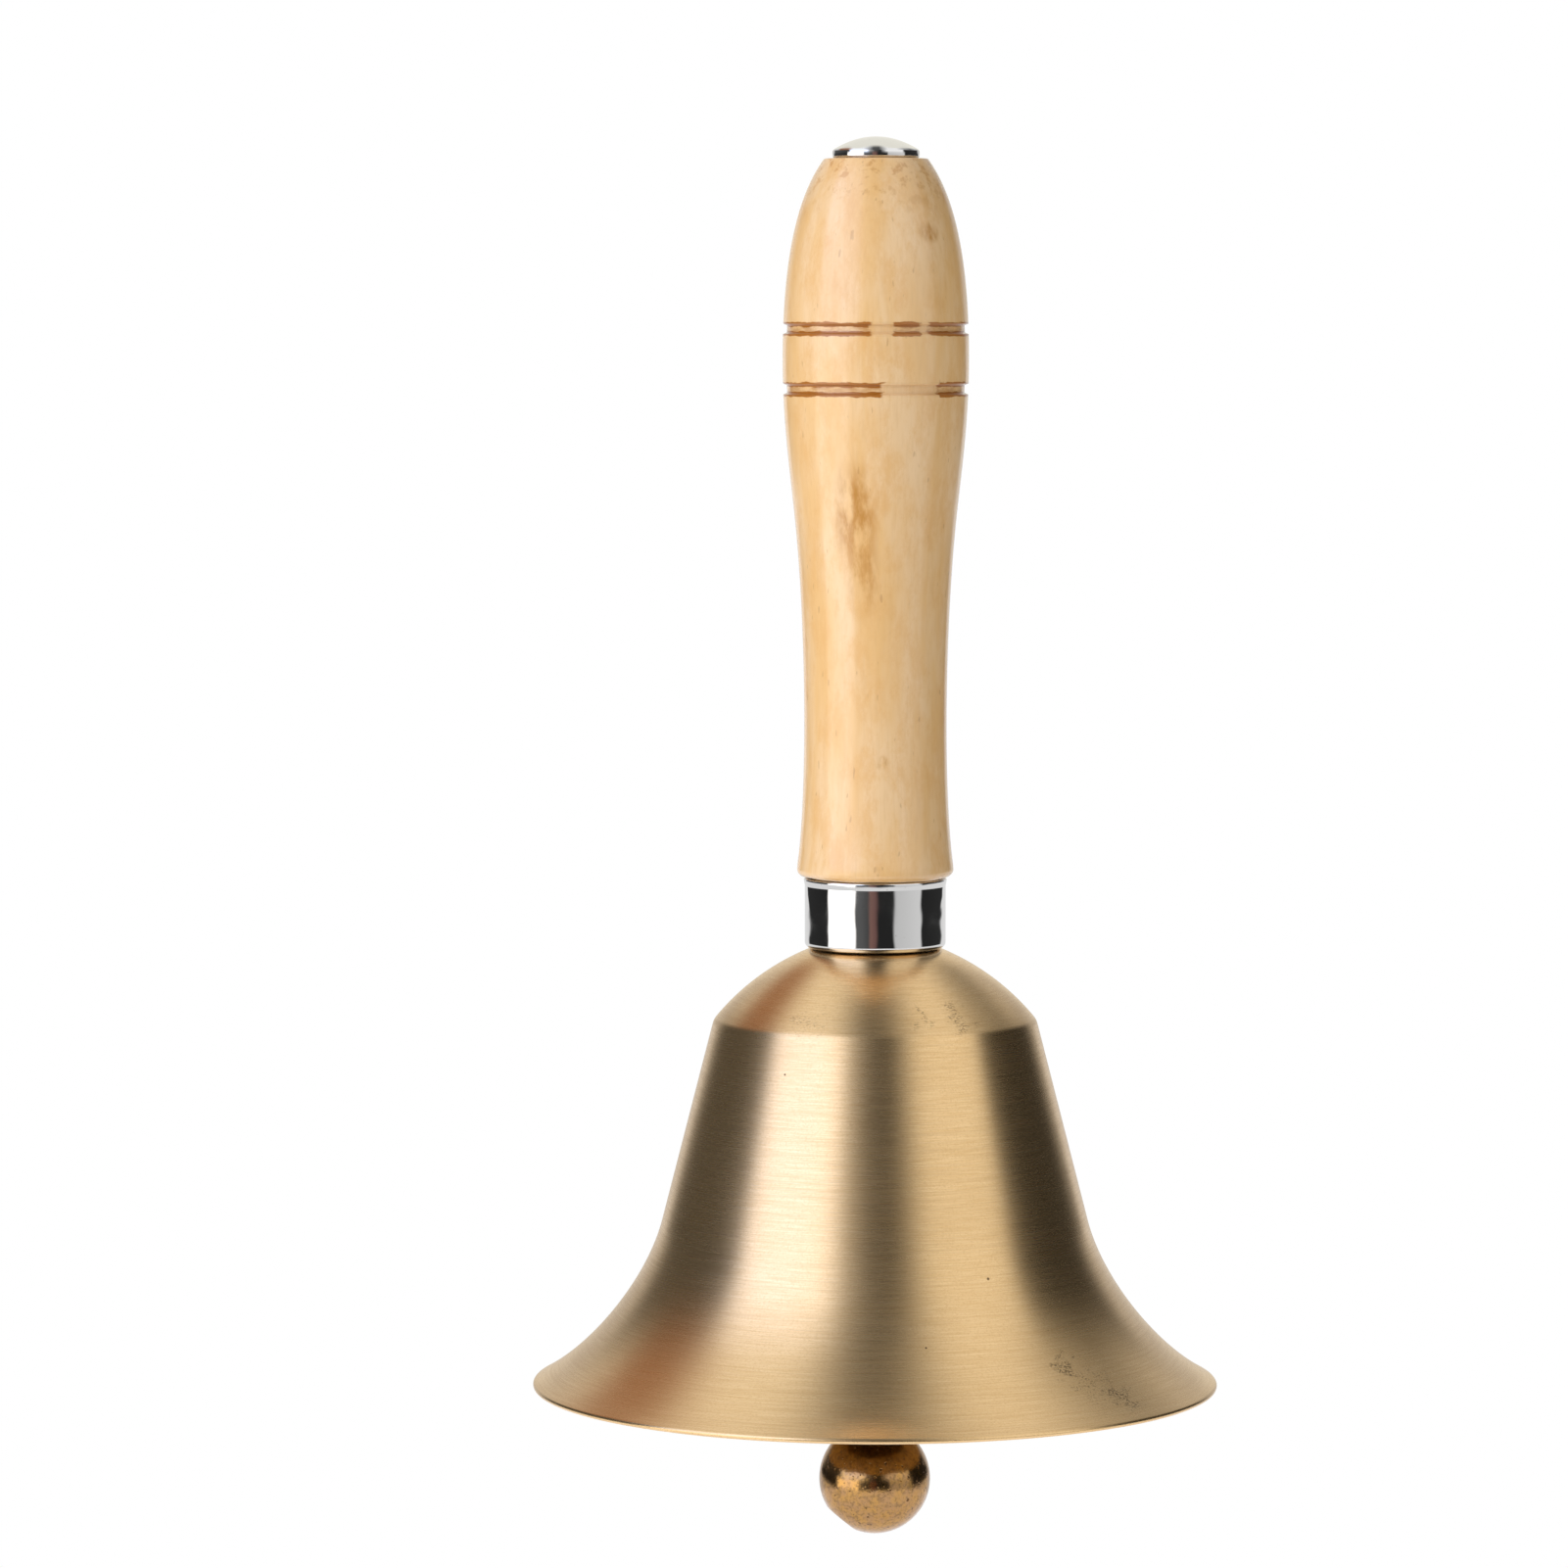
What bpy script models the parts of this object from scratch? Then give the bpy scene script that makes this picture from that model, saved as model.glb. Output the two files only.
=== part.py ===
"""Handbell with a turned wooden grip: the bell, a chromed ferrule and the grip are drawn together by one long
bolt, and a ball clapper hangs inside on a hanger that swivels round the bolt.

Metres, +Z up. The world origin is the centre of the grip, on the bell's axis. Every height below is measured
from the mouth plane, the flat rim of the bell, and every piece stands on an empty in that plane."""

import math

import bmesh
import bpy
import numpy as np
from mathutils import Vector
from mathutils.geometry import interpolate_bezier

GRIP_HEIGHT = 0.1015  # the centre of the grip above the mouth plane
GAP = 0.0003  # clearance between neighbouring pieces
CUT_MARGIN = 0.001  # how far a cutter runs past the piece it cuts

# Bell
MOUTH_RADIUS = 0.0400
LIP_ROUNDING = 0.00035
LIP_WALL = 0.00105  # radial width from the lip's outermost edge to the inside of the mouth
BELL_WALL = 0.0016
LIP_DIRECTION = 62.0  # degrees from straight down, of the wall where it reaches the lip
FLARE_REACH = (0.0073, 0.0074)  # how far the flare's curve holds the waist's and the lip's direction
FLARE_TOP_HEIGHT = 0.0195
WAIST_TAPER = 14.4  # degrees from straight down
CREASE_RADIUS = 0.01885
CREASE_HEIGHT = 0.0430
SHOULDER_ARC_RADIUS = 0.0277
SHOULDER_ARC_END = 38.7  # degrees above level, of the shoulder's normal at the crease
CROWN_HEIGHT = 0.0514
SEAT_RADIUS = 0.0072
SEAT_RISE = 0.00035
CROWN_INSIDE_HEIGHT = 0.0496

# Bolt, drawn through everything on the axis
BOLT_RADIUS = 0.0020
BOLT_HOLE_RADIUS = BOLT_RADIUS + GAP
BOLT_END_HEIGHT = 0.0358
BOLT_END_BEVEL = 0.0005
NECK_SIDE = 0.0043  # the square under the head that keeps the bolt from turning
NECK_LENGTH = 0.0030
HEAD_RADIUS = 0.00505
HEAD_RIM = 0.0010
HEAD_EDGE = 0.0002  # bevel under the rim
HEAD_DOME_RISE = 0.00125

# Ferrule
FERRULE_RADIUS = 0.00833
FERRULE_WALL = 0.0008
FERRULE_FLOOR = 0.0010
FERRULE_BOTTOM = CROWN_HEIGHT + SEAT_RISE + GAP
FERRULE_TOP = 0.0597
FERRULE_FOOT_ROUNDING = 0.0009
FERRULE_RIM_ROUNDING = 0.0003

# Handle
HANDLE_BOTTOM = FERRULE_TOP + GAP
HANDLE_TOP = 0.14305
HANDLE_TOP_RADIUS = 0.0060
HANDLE_TOP_DIRECTION = 53.5  # degrees above level, of the outline as it closes in on the flat top
BELLY = (0.01080, 0.1200)  # radius and height where the grip is thickest
GRIP_RISE = (0.00960, 0.1035)
GRIP_RISE_DIRECTION = 6.6  # degrees from straight down
WAIST = (0.00828, 0.0775)  # where the grip is thinnest
HANDLE_FOOT = (0.00911, 0.0610)
HANDLE_FOOT_DIRECTION = 9.1  # degrees from straight down
HANDLE_FOOT_ROUNDING = 0.0010
# How far each curve of the grip, from the top down, holds its first and its last direction
GRIP_REACHES = ((0.0051, 0.0118), (0.0060, 0.0060), (0.0083, 0.0081), (0.0050, 0.0039))
GROOVES = ((0.11587, 0.11712), (0.12284, 0.12402))  # lower and upper edge of each scored line
GROOVE_DEPTH = 0.00045
GROOVE_SLOPE = 0.00018

# Nuts and washers on the bolt inside the bell, each one just below the last
NUT_ACROSS_FLATS = 0.0070
NUT_BEVEL_SHARE = 0.6  # of the corner that stands outside the flats
WASHER_BEVEL_SHARE = 0.2  # of the thickness
CLAMP_NUT_HEIGHT = 0.0032
THIN_NUT_HEIGHT = 0.0022
WASHER_RADIUS = 0.0045
CROWN_WASHER_THICKNESS = 0.0008
SPRING_WASHER_RADIUS = 0.0038
SPRING_WASHER_THICKNESS = 0.0009
SPRING_WASHER_CUT = 0.0007
SWIVEL_WASHER_RADIUS = 0.0040
SWIVEL_WASHER_THICKNESS = 0.0005

# Hanger and its cross pin
STRIP_THICKNESS = 0.0012
STRIP_WIDTH = 0.0060
STRIP_INNER_HALF = 0.0050  # from the axis to the inner face of each arm
STRIP_BEND = 0.0010
PIN_HEIGHT = 0.0319
PIN_RADIUS = 0.0010
PIN_HEAD_RADIUS = 0.0018
PIN_HEAD_RISE = 0.0007

# Clapper
WIRE_RADIUS = 0.0010
EYE_RADIUS = PIN_RADIUS + GAP + WIRE_RADIUS
EYE_START = -30.0  # degrees round the pin, from +X towards +Z, where the wire's free end stands
EYE_END = 235.0
STEM_BEND_RADIUS = 0.0016
BALL_RADIUS = 0.0065
BALL_HEIGHT = -0.0110
BALL_HOLE_DEPTH = 0.0060

FINE = 64  # segments round the bell
MEDIUM = 48
SMALL = 24
SHARP_ANGLE = 35.0  # degrees between faces, above which an edge is shaded sharp


def clear_scene():
    for leftover in list(bpy.data.objects):
        bpy.data.objects.remove(leftover, do_unlink=True)


def material(name, colour, roughness, metallic):
    made = bpy.data.materials.new(name)
    made.use_nodes = True
    shader = made.node_tree.nodes["Principled BSDF"]
    shader.inputs["Base Color"].default_value = (*colour, 1.0)
    shader.inputs["Roughness"].default_value = roughness
    shader.inputs["Metallic"].default_value = metallic
    return made


def empty(name, parent, height):
    made = bpy.data.objects.new(name, None)
    made.empty_display_size = 0.01
    made.parent = parent
    made.location = (0.0, 0.0, height)
    bpy.context.scene.collection.objects.link(made)
    return made


def add_object(name, bm, parent, look):
    """Turns a bmesh into a smooth-shaded object under its parent."""
    bmesh.ops.recalc_face_normals(bm, faces=bm.faces)
    mesh = bpy.data.meshes.new(name)
    bm.to_mesh(mesh)
    bm.free()
    mesh.shade_smooth()
    mesh.set_sharp_from_angle(angle=math.radians(SHARP_ANGLE))
    if look:
        mesh.materials.append(look)
    made = bpy.data.objects.new(name, mesh)
    made.parent = parent
    bpy.context.scene.collection.objects.link(made)
    return made


def point(radius, height):
    return Vector((radius, 0.0, height))


def down(degrees):
    """Direction in the profile plane, turned outwards from straight down."""
    return point(math.sin(math.radians(degrees)), -math.cos(math.radians(degrees)))


def level(degrees):
    """Direction in the profile plane, turned upwards from level."""
    return point(math.cos(math.radians(degrees)), math.sin(math.radians(degrees)))


def arc(centre, radius, start, end, count):
    """Points of a profile arc, from one angle above level to another, both ends included."""
    return [centre + radius * level(angle) for angle in np.linspace(start, end, count)]


def turned(name, profile, segments, parent, look):
    """A solid of revolution from a profile of radius and height, closed on itself or on the axis."""
    bm = bmesh.new()
    ring = [bm.verts.new(place) for place in profile]
    edges = [bm.edges.new(pair) for pair in zip(ring, ring[1:])]
    if min(profile[0].x, profile[-1].x) > 0.0:
        edges.append(bm.edges.new((ring[-1], ring[0])))
    bmesh.ops.spin(
        bm, geom=ring + edges, cent=(0, 0, 0), axis=(0, 0, 1), angle=math.tau, steps=segments, use_merge=True
    )
    bmesh.ops.remove_doubles(bm, verts=bm.verts, dist=1e-6)
    return add_object(name, bm, parent, look)


def box(name, low, high, parent):
    """A plain block between two corners, used as a cutter."""
    bm = bmesh.new()
    bmesh.ops.create_cube(bm, size=1.0)
    low, high = Vector(low), Vector(high)
    for vertex in bm.verts:
        vertex.co = (low + high) / 2 + Vector(a * b for a, b in zip(vertex.co, high - low))
    return as_helper(add_object(name, bm, parent, None))


def as_helper(cutter):
    cutter.hide_render = True
    cutter.display_type = "WIRE"
    return cutter


def boolean(target, helper, operation):
    change = target.modifiers.new(operation.lower(), "BOOLEAN")
    change.operation = operation
    change.solver = "EXACT"
    change.object = helper


# Bell


def bell_side(wall, lip, shoulder_count, flare_count):
    """The bell's side from crown to lip, `wall` inside its outer face and ending at `lip`."""
    crease = point(CREASE_RADIUS, CREASE_HEIGHT)
    centre = crease - SHOULDER_ARC_RADIUS * level(SHOULDER_ARC_END)
    radius = SHOULDER_ARC_RADIUS - wall
    top = math.degrees(math.asin((CROWN_HEIGHT - wall - centre.z) / radius))
    shoulder = arc(centre, radius, top, SHOULDER_ARC_END, shoulder_count)
    waist_length = (CREASE_HEIGHT - FLARE_TOP_HEIGHT) / math.cos(math.radians(WAIST_TAPER))
    flare_top = crease + waist_length * down(WAIST_TAPER) - wall * level(WAIST_TAPER)
    flare = interpolate_bezier(
        flare_top,
        flare_top + FLARE_REACH[0] * down(WAIST_TAPER),
        lip - FLARE_REACH[1] * down(LIP_DIRECTION),
        lip,
        flare_count,
    )
    return shoulder + [(shoulder[-1] + flare_top) / 2] + list(flare)


def bell_body(parent, look):
    edge_centre = point(MOUTH_RADIUS - LIP_ROUNDING, LIP_ROUNDING)
    rounding = [
        *arc(edge_centre, LIP_ROUNDING, LIP_DIRECTION, 0.0, 3),
        *arc(edge_centre, LIP_ROUNDING, 0.0, -90.0, 4)[1:],
    ]
    seat = [
        point(BOLT_HOLE_RADIUS, CROWN_HEIGHT + SEAT_RISE),
        point(SEAT_RADIUS, CROWN_HEIGHT + SEAT_RISE),
        point(SEAT_RADIUS, CROWN_HEIGHT),
    ]
    outside = bell_side(0.0, rounding[0], 7, 12)
    inside = bell_side(BELL_WALL, point(MOUTH_RADIUS - LIP_WALL, 0.0), 5, 9)
    crown_inside = [point(inside[0].x, CROWN_INSIDE_HEIGHT), point(BOLT_HOLE_RADIUS, CROWN_INSIDE_HEIGHT)]
    profile = seat + outside + rounding[1:] + inside[:0:-1] + crown_inside
    return turned("bell_body", profile, FINE, parent, look)


# Grip


def ferrule(parent, look):
    foot = point(FERRULE_RADIUS - FERRULE_FOOT_ROUNDING, FERRULE_BOTTOM + FERRULE_FOOT_ROUNDING)
    rim = point(FERRULE_RADIUS - FERRULE_RIM_ROUNDING, FERRULE_TOP - FERRULE_RIM_ROUNDING)
    bore = FERRULE_RADIUS - FERRULE_WALL
    profile = [
        point(bore, FERRULE_TOP),
        *arc(rim, FERRULE_RIM_ROUNDING, 90.0, 0.0, 4),
        *arc(foot, FERRULE_FOOT_ROUNDING, 0.0, -90.0, 6),
        point(BOLT_HOLE_RADIUS, FERRULE_BOTTOM),
        point(BOLT_HOLE_RADIUS, FERRULE_BOTTOM + FERRULE_FLOOR),
        point(bore, FERRULE_BOTTOM + FERRULE_FLOOR),
    ]
    return turned("ferrule", profile, MEDIUM, parent, look)


def grip_outline():
    """The grip's smooth side from its flat top down to its foot, before the grooves are scored."""
    top = point(HANDLE_TOP_RADIUS, HANDLE_TOP)
    belly, rise, waist, foot = point(*BELLY), point(*GRIP_RISE), point(*WAIST), point(*HANDLE_FOOT)
    closing_in = level(180.0 - HANDLE_TOP_DIRECTION)
    slope = -down(-GRIP_RISE_DIRECTION)
    up = point(0.0, 1.0)
    curves = (
        (top, belly, -closing_in, up),
        (belly, rise, -up, slope),
        (rise, waist, -slope, up),
        (waist, foot, -up, -down(HANDLE_FOOT_DIRECTION)),
    )
    outline = []
    for (start, end, leaving, arriving), (first, last) in zip(curves, GRIP_REACHES):
        outline += interpolate_bezier(start, start + first * leaving, end + last * arriving, end, 40)
    return outline


GRIP_OUTLINE = grip_outline()[::-1]


def grip_radius(height):
    return float(np.interp(height, [place.z for place in GRIP_OUTLINE], [place.x for place in GRIP_OUTLINE]))


def scored_groove(low, high):
    """The four profile points of one groove, from its upper edge to its lower one."""
    heights = (high, high - GROOVE_SLOPE, low + GROOVE_SLOPE, low)
    depths = (0.0, GROOVE_DEPTH, GROOVE_DEPTH, 0.0)
    return [point(grip_radius(height) - depth, height) for height, depth in zip(heights, depths)]


def smooth_stretch(high, low, count):
    """Profile points strictly between two heights."""
    return [point(grip_radius(height), height) for height in np.linspace(high, low, count + 2)[1:-1]]


def handle(parent, look):
    lower_groove, upper_groove = (scored_groove(*edges) for edges in GROOVES)
    foot_centre = point(HANDLE_FOOT[0] - HANDLE_FOOT_ROUNDING, HANDLE_BOTTOM + HANDLE_FOOT_ROUNDING)
    tenon_radius = FERRULE_RADIUS - FERRULE_WALL - GAP
    tenon_bottom = FERRULE_BOTTOM + FERRULE_FLOOR + GAP
    profile = [
        point(BOLT_HOLE_RADIUS, HANDLE_TOP),
        point(HANDLE_TOP_RADIUS, HANDLE_TOP),
        *smooth_stretch(HANDLE_TOP, GROOVES[1][1], 8),
        *upper_groove,
        *smooth_stretch(GROOVES[1][0], GROOVES[0][1], 1),
        *lower_groove,
        *smooth_stretch(GROOVES[0][0], HANDLE_FOOT[1], 11),
        *arc(foot_centre, HANDLE_FOOT_ROUNDING, 0.0, -90.0, 4),
        point(tenon_radius, HANDLE_BOTTOM),
        point(tenon_radius, tenon_bottom),
        point(BOLT_HOLE_RADIUS, tenon_bottom),
    ]
    grip = turned("handle", profile, MEDIUM, parent, look)
    half = NECK_SIDE / 2 + GAP
    floor = HANDLE_TOP - NECK_LENGTH - GAP
    pocket = box("neck_pocket_cutter", (-half, -half, floor), (half, half, HANDLE_TOP + CUT_MARGIN), parent)
    boolean(grip, pocket, "DIFFERENCE")
    return grip


def tie_bolt(parent, look):
    """Long bolt with a domed head, a square neck that bites in the wood, and a bevelled end."""
    under_head = HANDLE_TOP + GAP
    rim_top = under_head + HEAD_RIM
    dome_radius = (HEAD_RADIUS**2 + HEAD_DOME_RISE**2) / (2 * HEAD_DOME_RISE)
    dome_centre = point(0.0, rim_top + HEAD_DOME_RISE - dome_radius)
    rim_angle = math.degrees(math.acos(HEAD_RADIUS / dome_radius))
    profile = [
        *arc(dome_centre, dome_radius, 90.0, rim_angle, 8),
        point(HEAD_RADIUS, under_head + HEAD_EDGE),
        point(HEAD_RADIUS - HEAD_EDGE, under_head),
        point(BOLT_RADIUS, under_head),
        point(BOLT_RADIUS, BOLT_END_HEIGHT + BOLT_END_BEVEL),
        point(BOLT_RADIUS - BOLT_END_BEVEL, BOLT_END_HEIGHT),
        point(0.0, BOLT_END_HEIGHT),
    ]
    profile[0].x = 0.0
    bolt = turned("tie_bolt", profile, SMALL, parent, look)
    half = NECK_SIDE / 2
    low = (-half, -half, under_head - NECK_LENGTH)
    high = (half, half, under_head + HEAD_RIM / 2)
    boolean(bolt, box("square_neck_form", low, high, parent), "UNION")
    return bolt


# Washers and nuts


def washer(name, radius, top, thickness, parent, look):
    """A flat ring round the bolt, its upper face at `top`."""
    edge = thickness * WASHER_BEVEL_SHARE
    profile = [
        point(BOLT_HOLE_RADIUS, top),
        point(radius - edge, top),
        point(radius, top - edge),
        point(radius, top - thickness + edge),
        point(radius - edge, top - thickness),
        point(BOLT_HOLE_RADIUS, top - thickness),
    ]
    return turned(name, profile, SMALL, parent, look)


def spring_washer(top, parent, look):
    ring = washer("spring_washer", SPRING_WASHER_RADIUS, top, SPRING_WASHER_THICKNESS, parent, look)
    half = SPRING_WASHER_CUT / 2
    low = (-half, 0.0, top - 2 * SPRING_WASHER_THICKNESS)
    high = (half, 2 * SPRING_WASHER_RADIUS, top + SPRING_WASHER_THICKNESS)
    boolean(ring, box("washer_cut_cutter", low, high, parent), "DIFFERENCE")
    return ring


def nut(name, top, height, parent, look):
    """A hexagon nut with its corners turned back on both faces."""
    corner_radius = NUT_ACROSS_FLATS / math.sqrt(3.0)
    bm = bmesh.new()
    bmesh.ops.create_cone(
        bm, cap_ends=True, segments=6, radius1=corner_radius, radius2=corner_radius, depth=height
    )
    bmesh.ops.translate(bm, verts=bm.verts, vec=(0.0, 0.0, top - height / 2))
    made = add_object(name, bm, parent, look)
    turned_back = (corner_radius - NUT_ACROSS_FLATS / 2) * NUT_BEVEL_SHARE
    outline = [
        point(BOLT_HOLE_RADIUS, top + GAP),
        point(corner_radius - turned_back - GAP, top + GAP),
        point(corner_radius + GAP, top - turned_back),
        point(corner_radius + GAP, top - height + turned_back),
        point(corner_radius - turned_back - GAP, top - height - GAP),
        point(BOLT_HOLE_RADIUS, top - height - GAP),
    ]
    boolean(made, as_helper(turned(name + "_form", outline, SMALL, parent, None)), "INTERSECT")
    return made


# Hanger and clapper, modelled round the centre of the cross pin


def hanger(web_top, parent, look):
    """A strip bent to a U, its web round the bolt and a round-ended arm on each side of the clapper."""
    outer_half = STRIP_INNER_HALF + STRIP_THICKNESS
    web_bottom = web_top - STRIP_THICKNESS
    arm_end = -STRIP_WIDTH / 2
    bend_centre = Vector((0.0, STRIP_INNER_HALF - STRIP_BEND, web_bottom - STRIP_BEND))
    sides = []
    for radius, arm in ((STRIP_BEND, STRIP_INNER_HALF), (STRIP_BEND + STRIP_THICKNESS, outer_half)):
        side = [Vector((0.0, arm, arm_end))]
        for direction in (level(angle) for angle in np.linspace(0.0, 90.0, 5)):
            side.append(bend_centre + radius * Vector((0.0, direction.x, direction.z)))
        sides.append(side)
    inner, outer = sides
    inner_mirrored, outer_mirrored = ([Vector((0.0, -place.y, place.z)) for place in side] for side in sides)
    outline = inner + inner_mirrored[::-1] + outer_mirrored + outer[::-1]
    bm = bmesh.new()
    face = bm.faces.new([bm.verts.new(place - Vector((STRIP_WIDTH / 2, 0.0, 0.0))) for place in outline])
    pulled = bmesh.ops.extrude_face_region(bm, geom=[face])
    moved = [item for item in pulled["geom"] if isinstance(item, bmesh.types.BMVert)]
    bmesh.ops.translate(bm, verts=moved, vec=(STRIP_WIDTH, 0.0, 0.0))
    strip = add_object("hanger", bm, parent, look)
    arm_form = rounded_bar("hanger_arm_form", STRIP_WIDTH / 2, web_top + GAP, outer_half + GAP, parent)
    boolean(strip, arm_form, "INTERSECT")
    for name, radius, reach, upright in (
        ("bolt_hole_cutter", BOLT_HOLE_RADIUS, web_top + CUT_MARGIN, True),
        ("pin_hole_cutter", PIN_RADIUS + GAP, outer_half + CUT_MARGIN, False),
    ):
        low = web_bottom - CUT_MARGIN if upright else -reach
        cutter = rod(name, radius, low, reach, SMALL, parent)
        if not upright:
            cutter.rotation_euler = (math.radians(90.0), 0.0, 0.0)
        boolean(strip, as_helper(cutter), "DIFFERENCE")
    return strip


def rod(name, radius, low, high, segments, parent):
    profile = [point(0.0, high), point(radius, high), point(radius, low), point(0.0, low)]
    return turned(name, profile, segments, parent, None)


def rounded_bar(name, half_width, top, half_length, parent):
    """A bar along Y with a half-round underside, which rounds the ends of the hanger's arms."""
    round_end = [half_width * level(angle) for angle in np.linspace(0.0, -180.0, 13)]
    outline = [point(half_width, top), *round_end, point(-half_width, top)]
    bm = bmesh.new()
    face = bm.faces.new([bm.verts.new(place - Vector((0.0, half_length, 0.0))) for place in outline])
    pulled = bmesh.ops.extrude_face_region(bm, geom=[face])
    moved = [item for item in pulled["geom"] if isinstance(item, bmesh.types.BMVert)]
    bmesh.ops.translate(bm, verts=moved, vec=(0.0, 2 * half_length, 0.0))
    return as_helper(add_object(name, bm, parent, None))


def hanger_pin(parent, look):
    """A plain cross pin along Y with a low domed head at each end."""
    shoulder = STRIP_INNER_HALF + STRIP_THICKNESS + GAP
    dome_radius = (PIN_HEAD_RADIUS**2 + PIN_HEAD_RISE**2) / (2 * PIN_HEAD_RISE)
    edge = math.degrees(math.acos(PIN_HEAD_RADIUS / dome_radius))
    centre = point(0.0, shoulder + PIN_HEAD_RISE - dome_radius)
    half = [*arc(centre, dome_radius, 90.0, edge, 5), point(PIN_RADIUS, shoulder)]
    half[0].x = 0.0
    profile = half + [point(place.x, -place.z) for place in half[::-1]]
    pin = turned("hanger_pin", profile, SMALL, parent, look)
    pin.rotation_euler = (math.radians(90.0), 0.0, 0.0)
    return pin


def clapper_stem(parent, look):
    """Wire with an open eye round the pin, a bend back to the axis, and a straight run down into the ball."""
    turns = math.radians(EYE_END)
    leaving = Vector((-math.sin(turns), 0.0, math.cos(turns)))
    eye_exit = EYE_RADIUS * level(EYE_END)
    corner = eye_exit - leaving * (eye_exit.x / leaving.x)
    bend_angle = leaving.angle(point(0.0, -1.0))
    bend_end = corner - point(0.0, STEM_BEND_RADIUS * math.tan(bend_angle / 2))
    bend_centre = bend_end - point(STEM_BEND_RADIUS, 0.0)
    stem_end = BALL_HEIGHT - PIN_HEIGHT + BALL_RADIUS - BALL_HOLE_DEPTH + GAP
    route = [
        *arc(point(0.0, 0.0), EYE_RADIUS, EYE_START, EYE_END, 15),
        *arc(bend_centre, STEM_BEND_RADIUS, math.degrees(bend_angle), 0.0, 5),
        point(0.0, stem_end),
    ]
    line = bpy.data.curves.new("clapper_stem", "CURVE")
    line.dimensions = "3D"
    line.bevel_depth = WIRE_RADIUS
    line.bevel_resolution = 3
    line.use_fill_caps = True
    spline = line.splines.new("POLY")
    spline.points.add(len(route) - 1)
    for slot, place in zip(spline.points, route):
        slot.co = (*place, 1.0)
    line.materials.append(look)
    stem = bpy.data.objects.new("clapper_stem", line)
    stem.parent = parent
    bpy.context.scene.collection.objects.link(stem)
    return stem


def clapper_ball(parent, look):
    """A ball bored from the top for the stem."""
    centre = point(0.0, BALL_HEIGHT - PIN_HEIGHT)
    hole_radius = WIRE_RADIUS + GAP
    mouth_angle = math.degrees(math.acos(hole_radius / BALL_RADIUS))
    hole_floor = centre.z + BALL_RADIUS - BALL_HOLE_DEPTH
    profile = [
        point(0.0, hole_floor),
        point(hole_radius, hole_floor),
        *arc(centre, BALL_RADIUS, mouth_angle, -90.0, 16),
    ]
    profile[-1].x = 0.0
    return turned("clapper_ball", profile, SMALL, parent, look)


def build():
    clear_scene()
    brass = material("brass", (0.72, 0.50, 0.22), 0.30, 1.0)
    aged_brass = material("aged_brass", (0.52, 0.38, 0.18), 0.42, 1.0)
    chrome = material("chrome", (0.80, 0.80, 0.82), 0.08, 1.0)
    zinc = material("zinc_plate", (0.62, 0.63, 0.65), 0.35, 1.0)
    wire_steel = material("steel_wire", (0.50, 0.50, 0.52), 0.30, 1.0)
    wood = material("lacquered_wood", (0.66, 0.47, 0.28), 0.40, 0.0)

    mouth_plane = empty("mouth_plane", None, -GRIP_HEIGHT)
    bell_body(mouth_plane, brass)
    ferrule(mouth_plane, chrome)
    handle(mouth_plane, wood)
    tie_bolt(mouth_plane, chrome)

    height = CROWN_INSIDE_HEIGHT - GAP
    washer("crown_washer", WASHER_RADIUS, height, CROWN_WASHER_THICKNESS, mouth_plane, zinc)
    height -= CROWN_WASHER_THICKNESS + GAP
    spring_washer(height, mouth_plane, zinc)
    height -= SPRING_WASHER_THICKNESS + GAP
    nut("clamp_nut", height, CLAMP_NUT_HEIGHT, mouth_plane, zinc)
    height -= CLAMP_NUT_HEIGHT + GAP
    web_top = height - PIN_HEIGHT
    height -= STRIP_THICKNESS + GAP
    washer("swivel_washer", SWIVEL_WASHER_RADIUS, height, SWIVEL_WASHER_THICKNESS, mouth_plane, zinc)
    height -= SWIVEL_WASHER_THICKNESS + GAP
    nut("retaining_nut", height, THIN_NUT_HEIGHT, mouth_plane, zinc)
    height -= THIN_NUT_HEIGHT + GAP
    nut("jam_nut", height, THIN_NUT_HEIGHT, mouth_plane, zinc)

    swivel_axis = empty("hanger_swivel_axis", mouth_plane, PIN_HEIGHT)
    hanger(web_top, swivel_axis, zinc)
    hanger_pin(swivel_axis, zinc)
    swing_axis = empty("clapper_swing_axis", swivel_axis, 0.0)
    clapper_stem(swing_axis, wire_steel)
    clapper_ball(swing_axis, aged_brass)


build()
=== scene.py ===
import math

import bmesh
import bpy
import numpy as np
from mathutils import Matrix, Vector
from mathutils.geometry import interpolate_bezier


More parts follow.
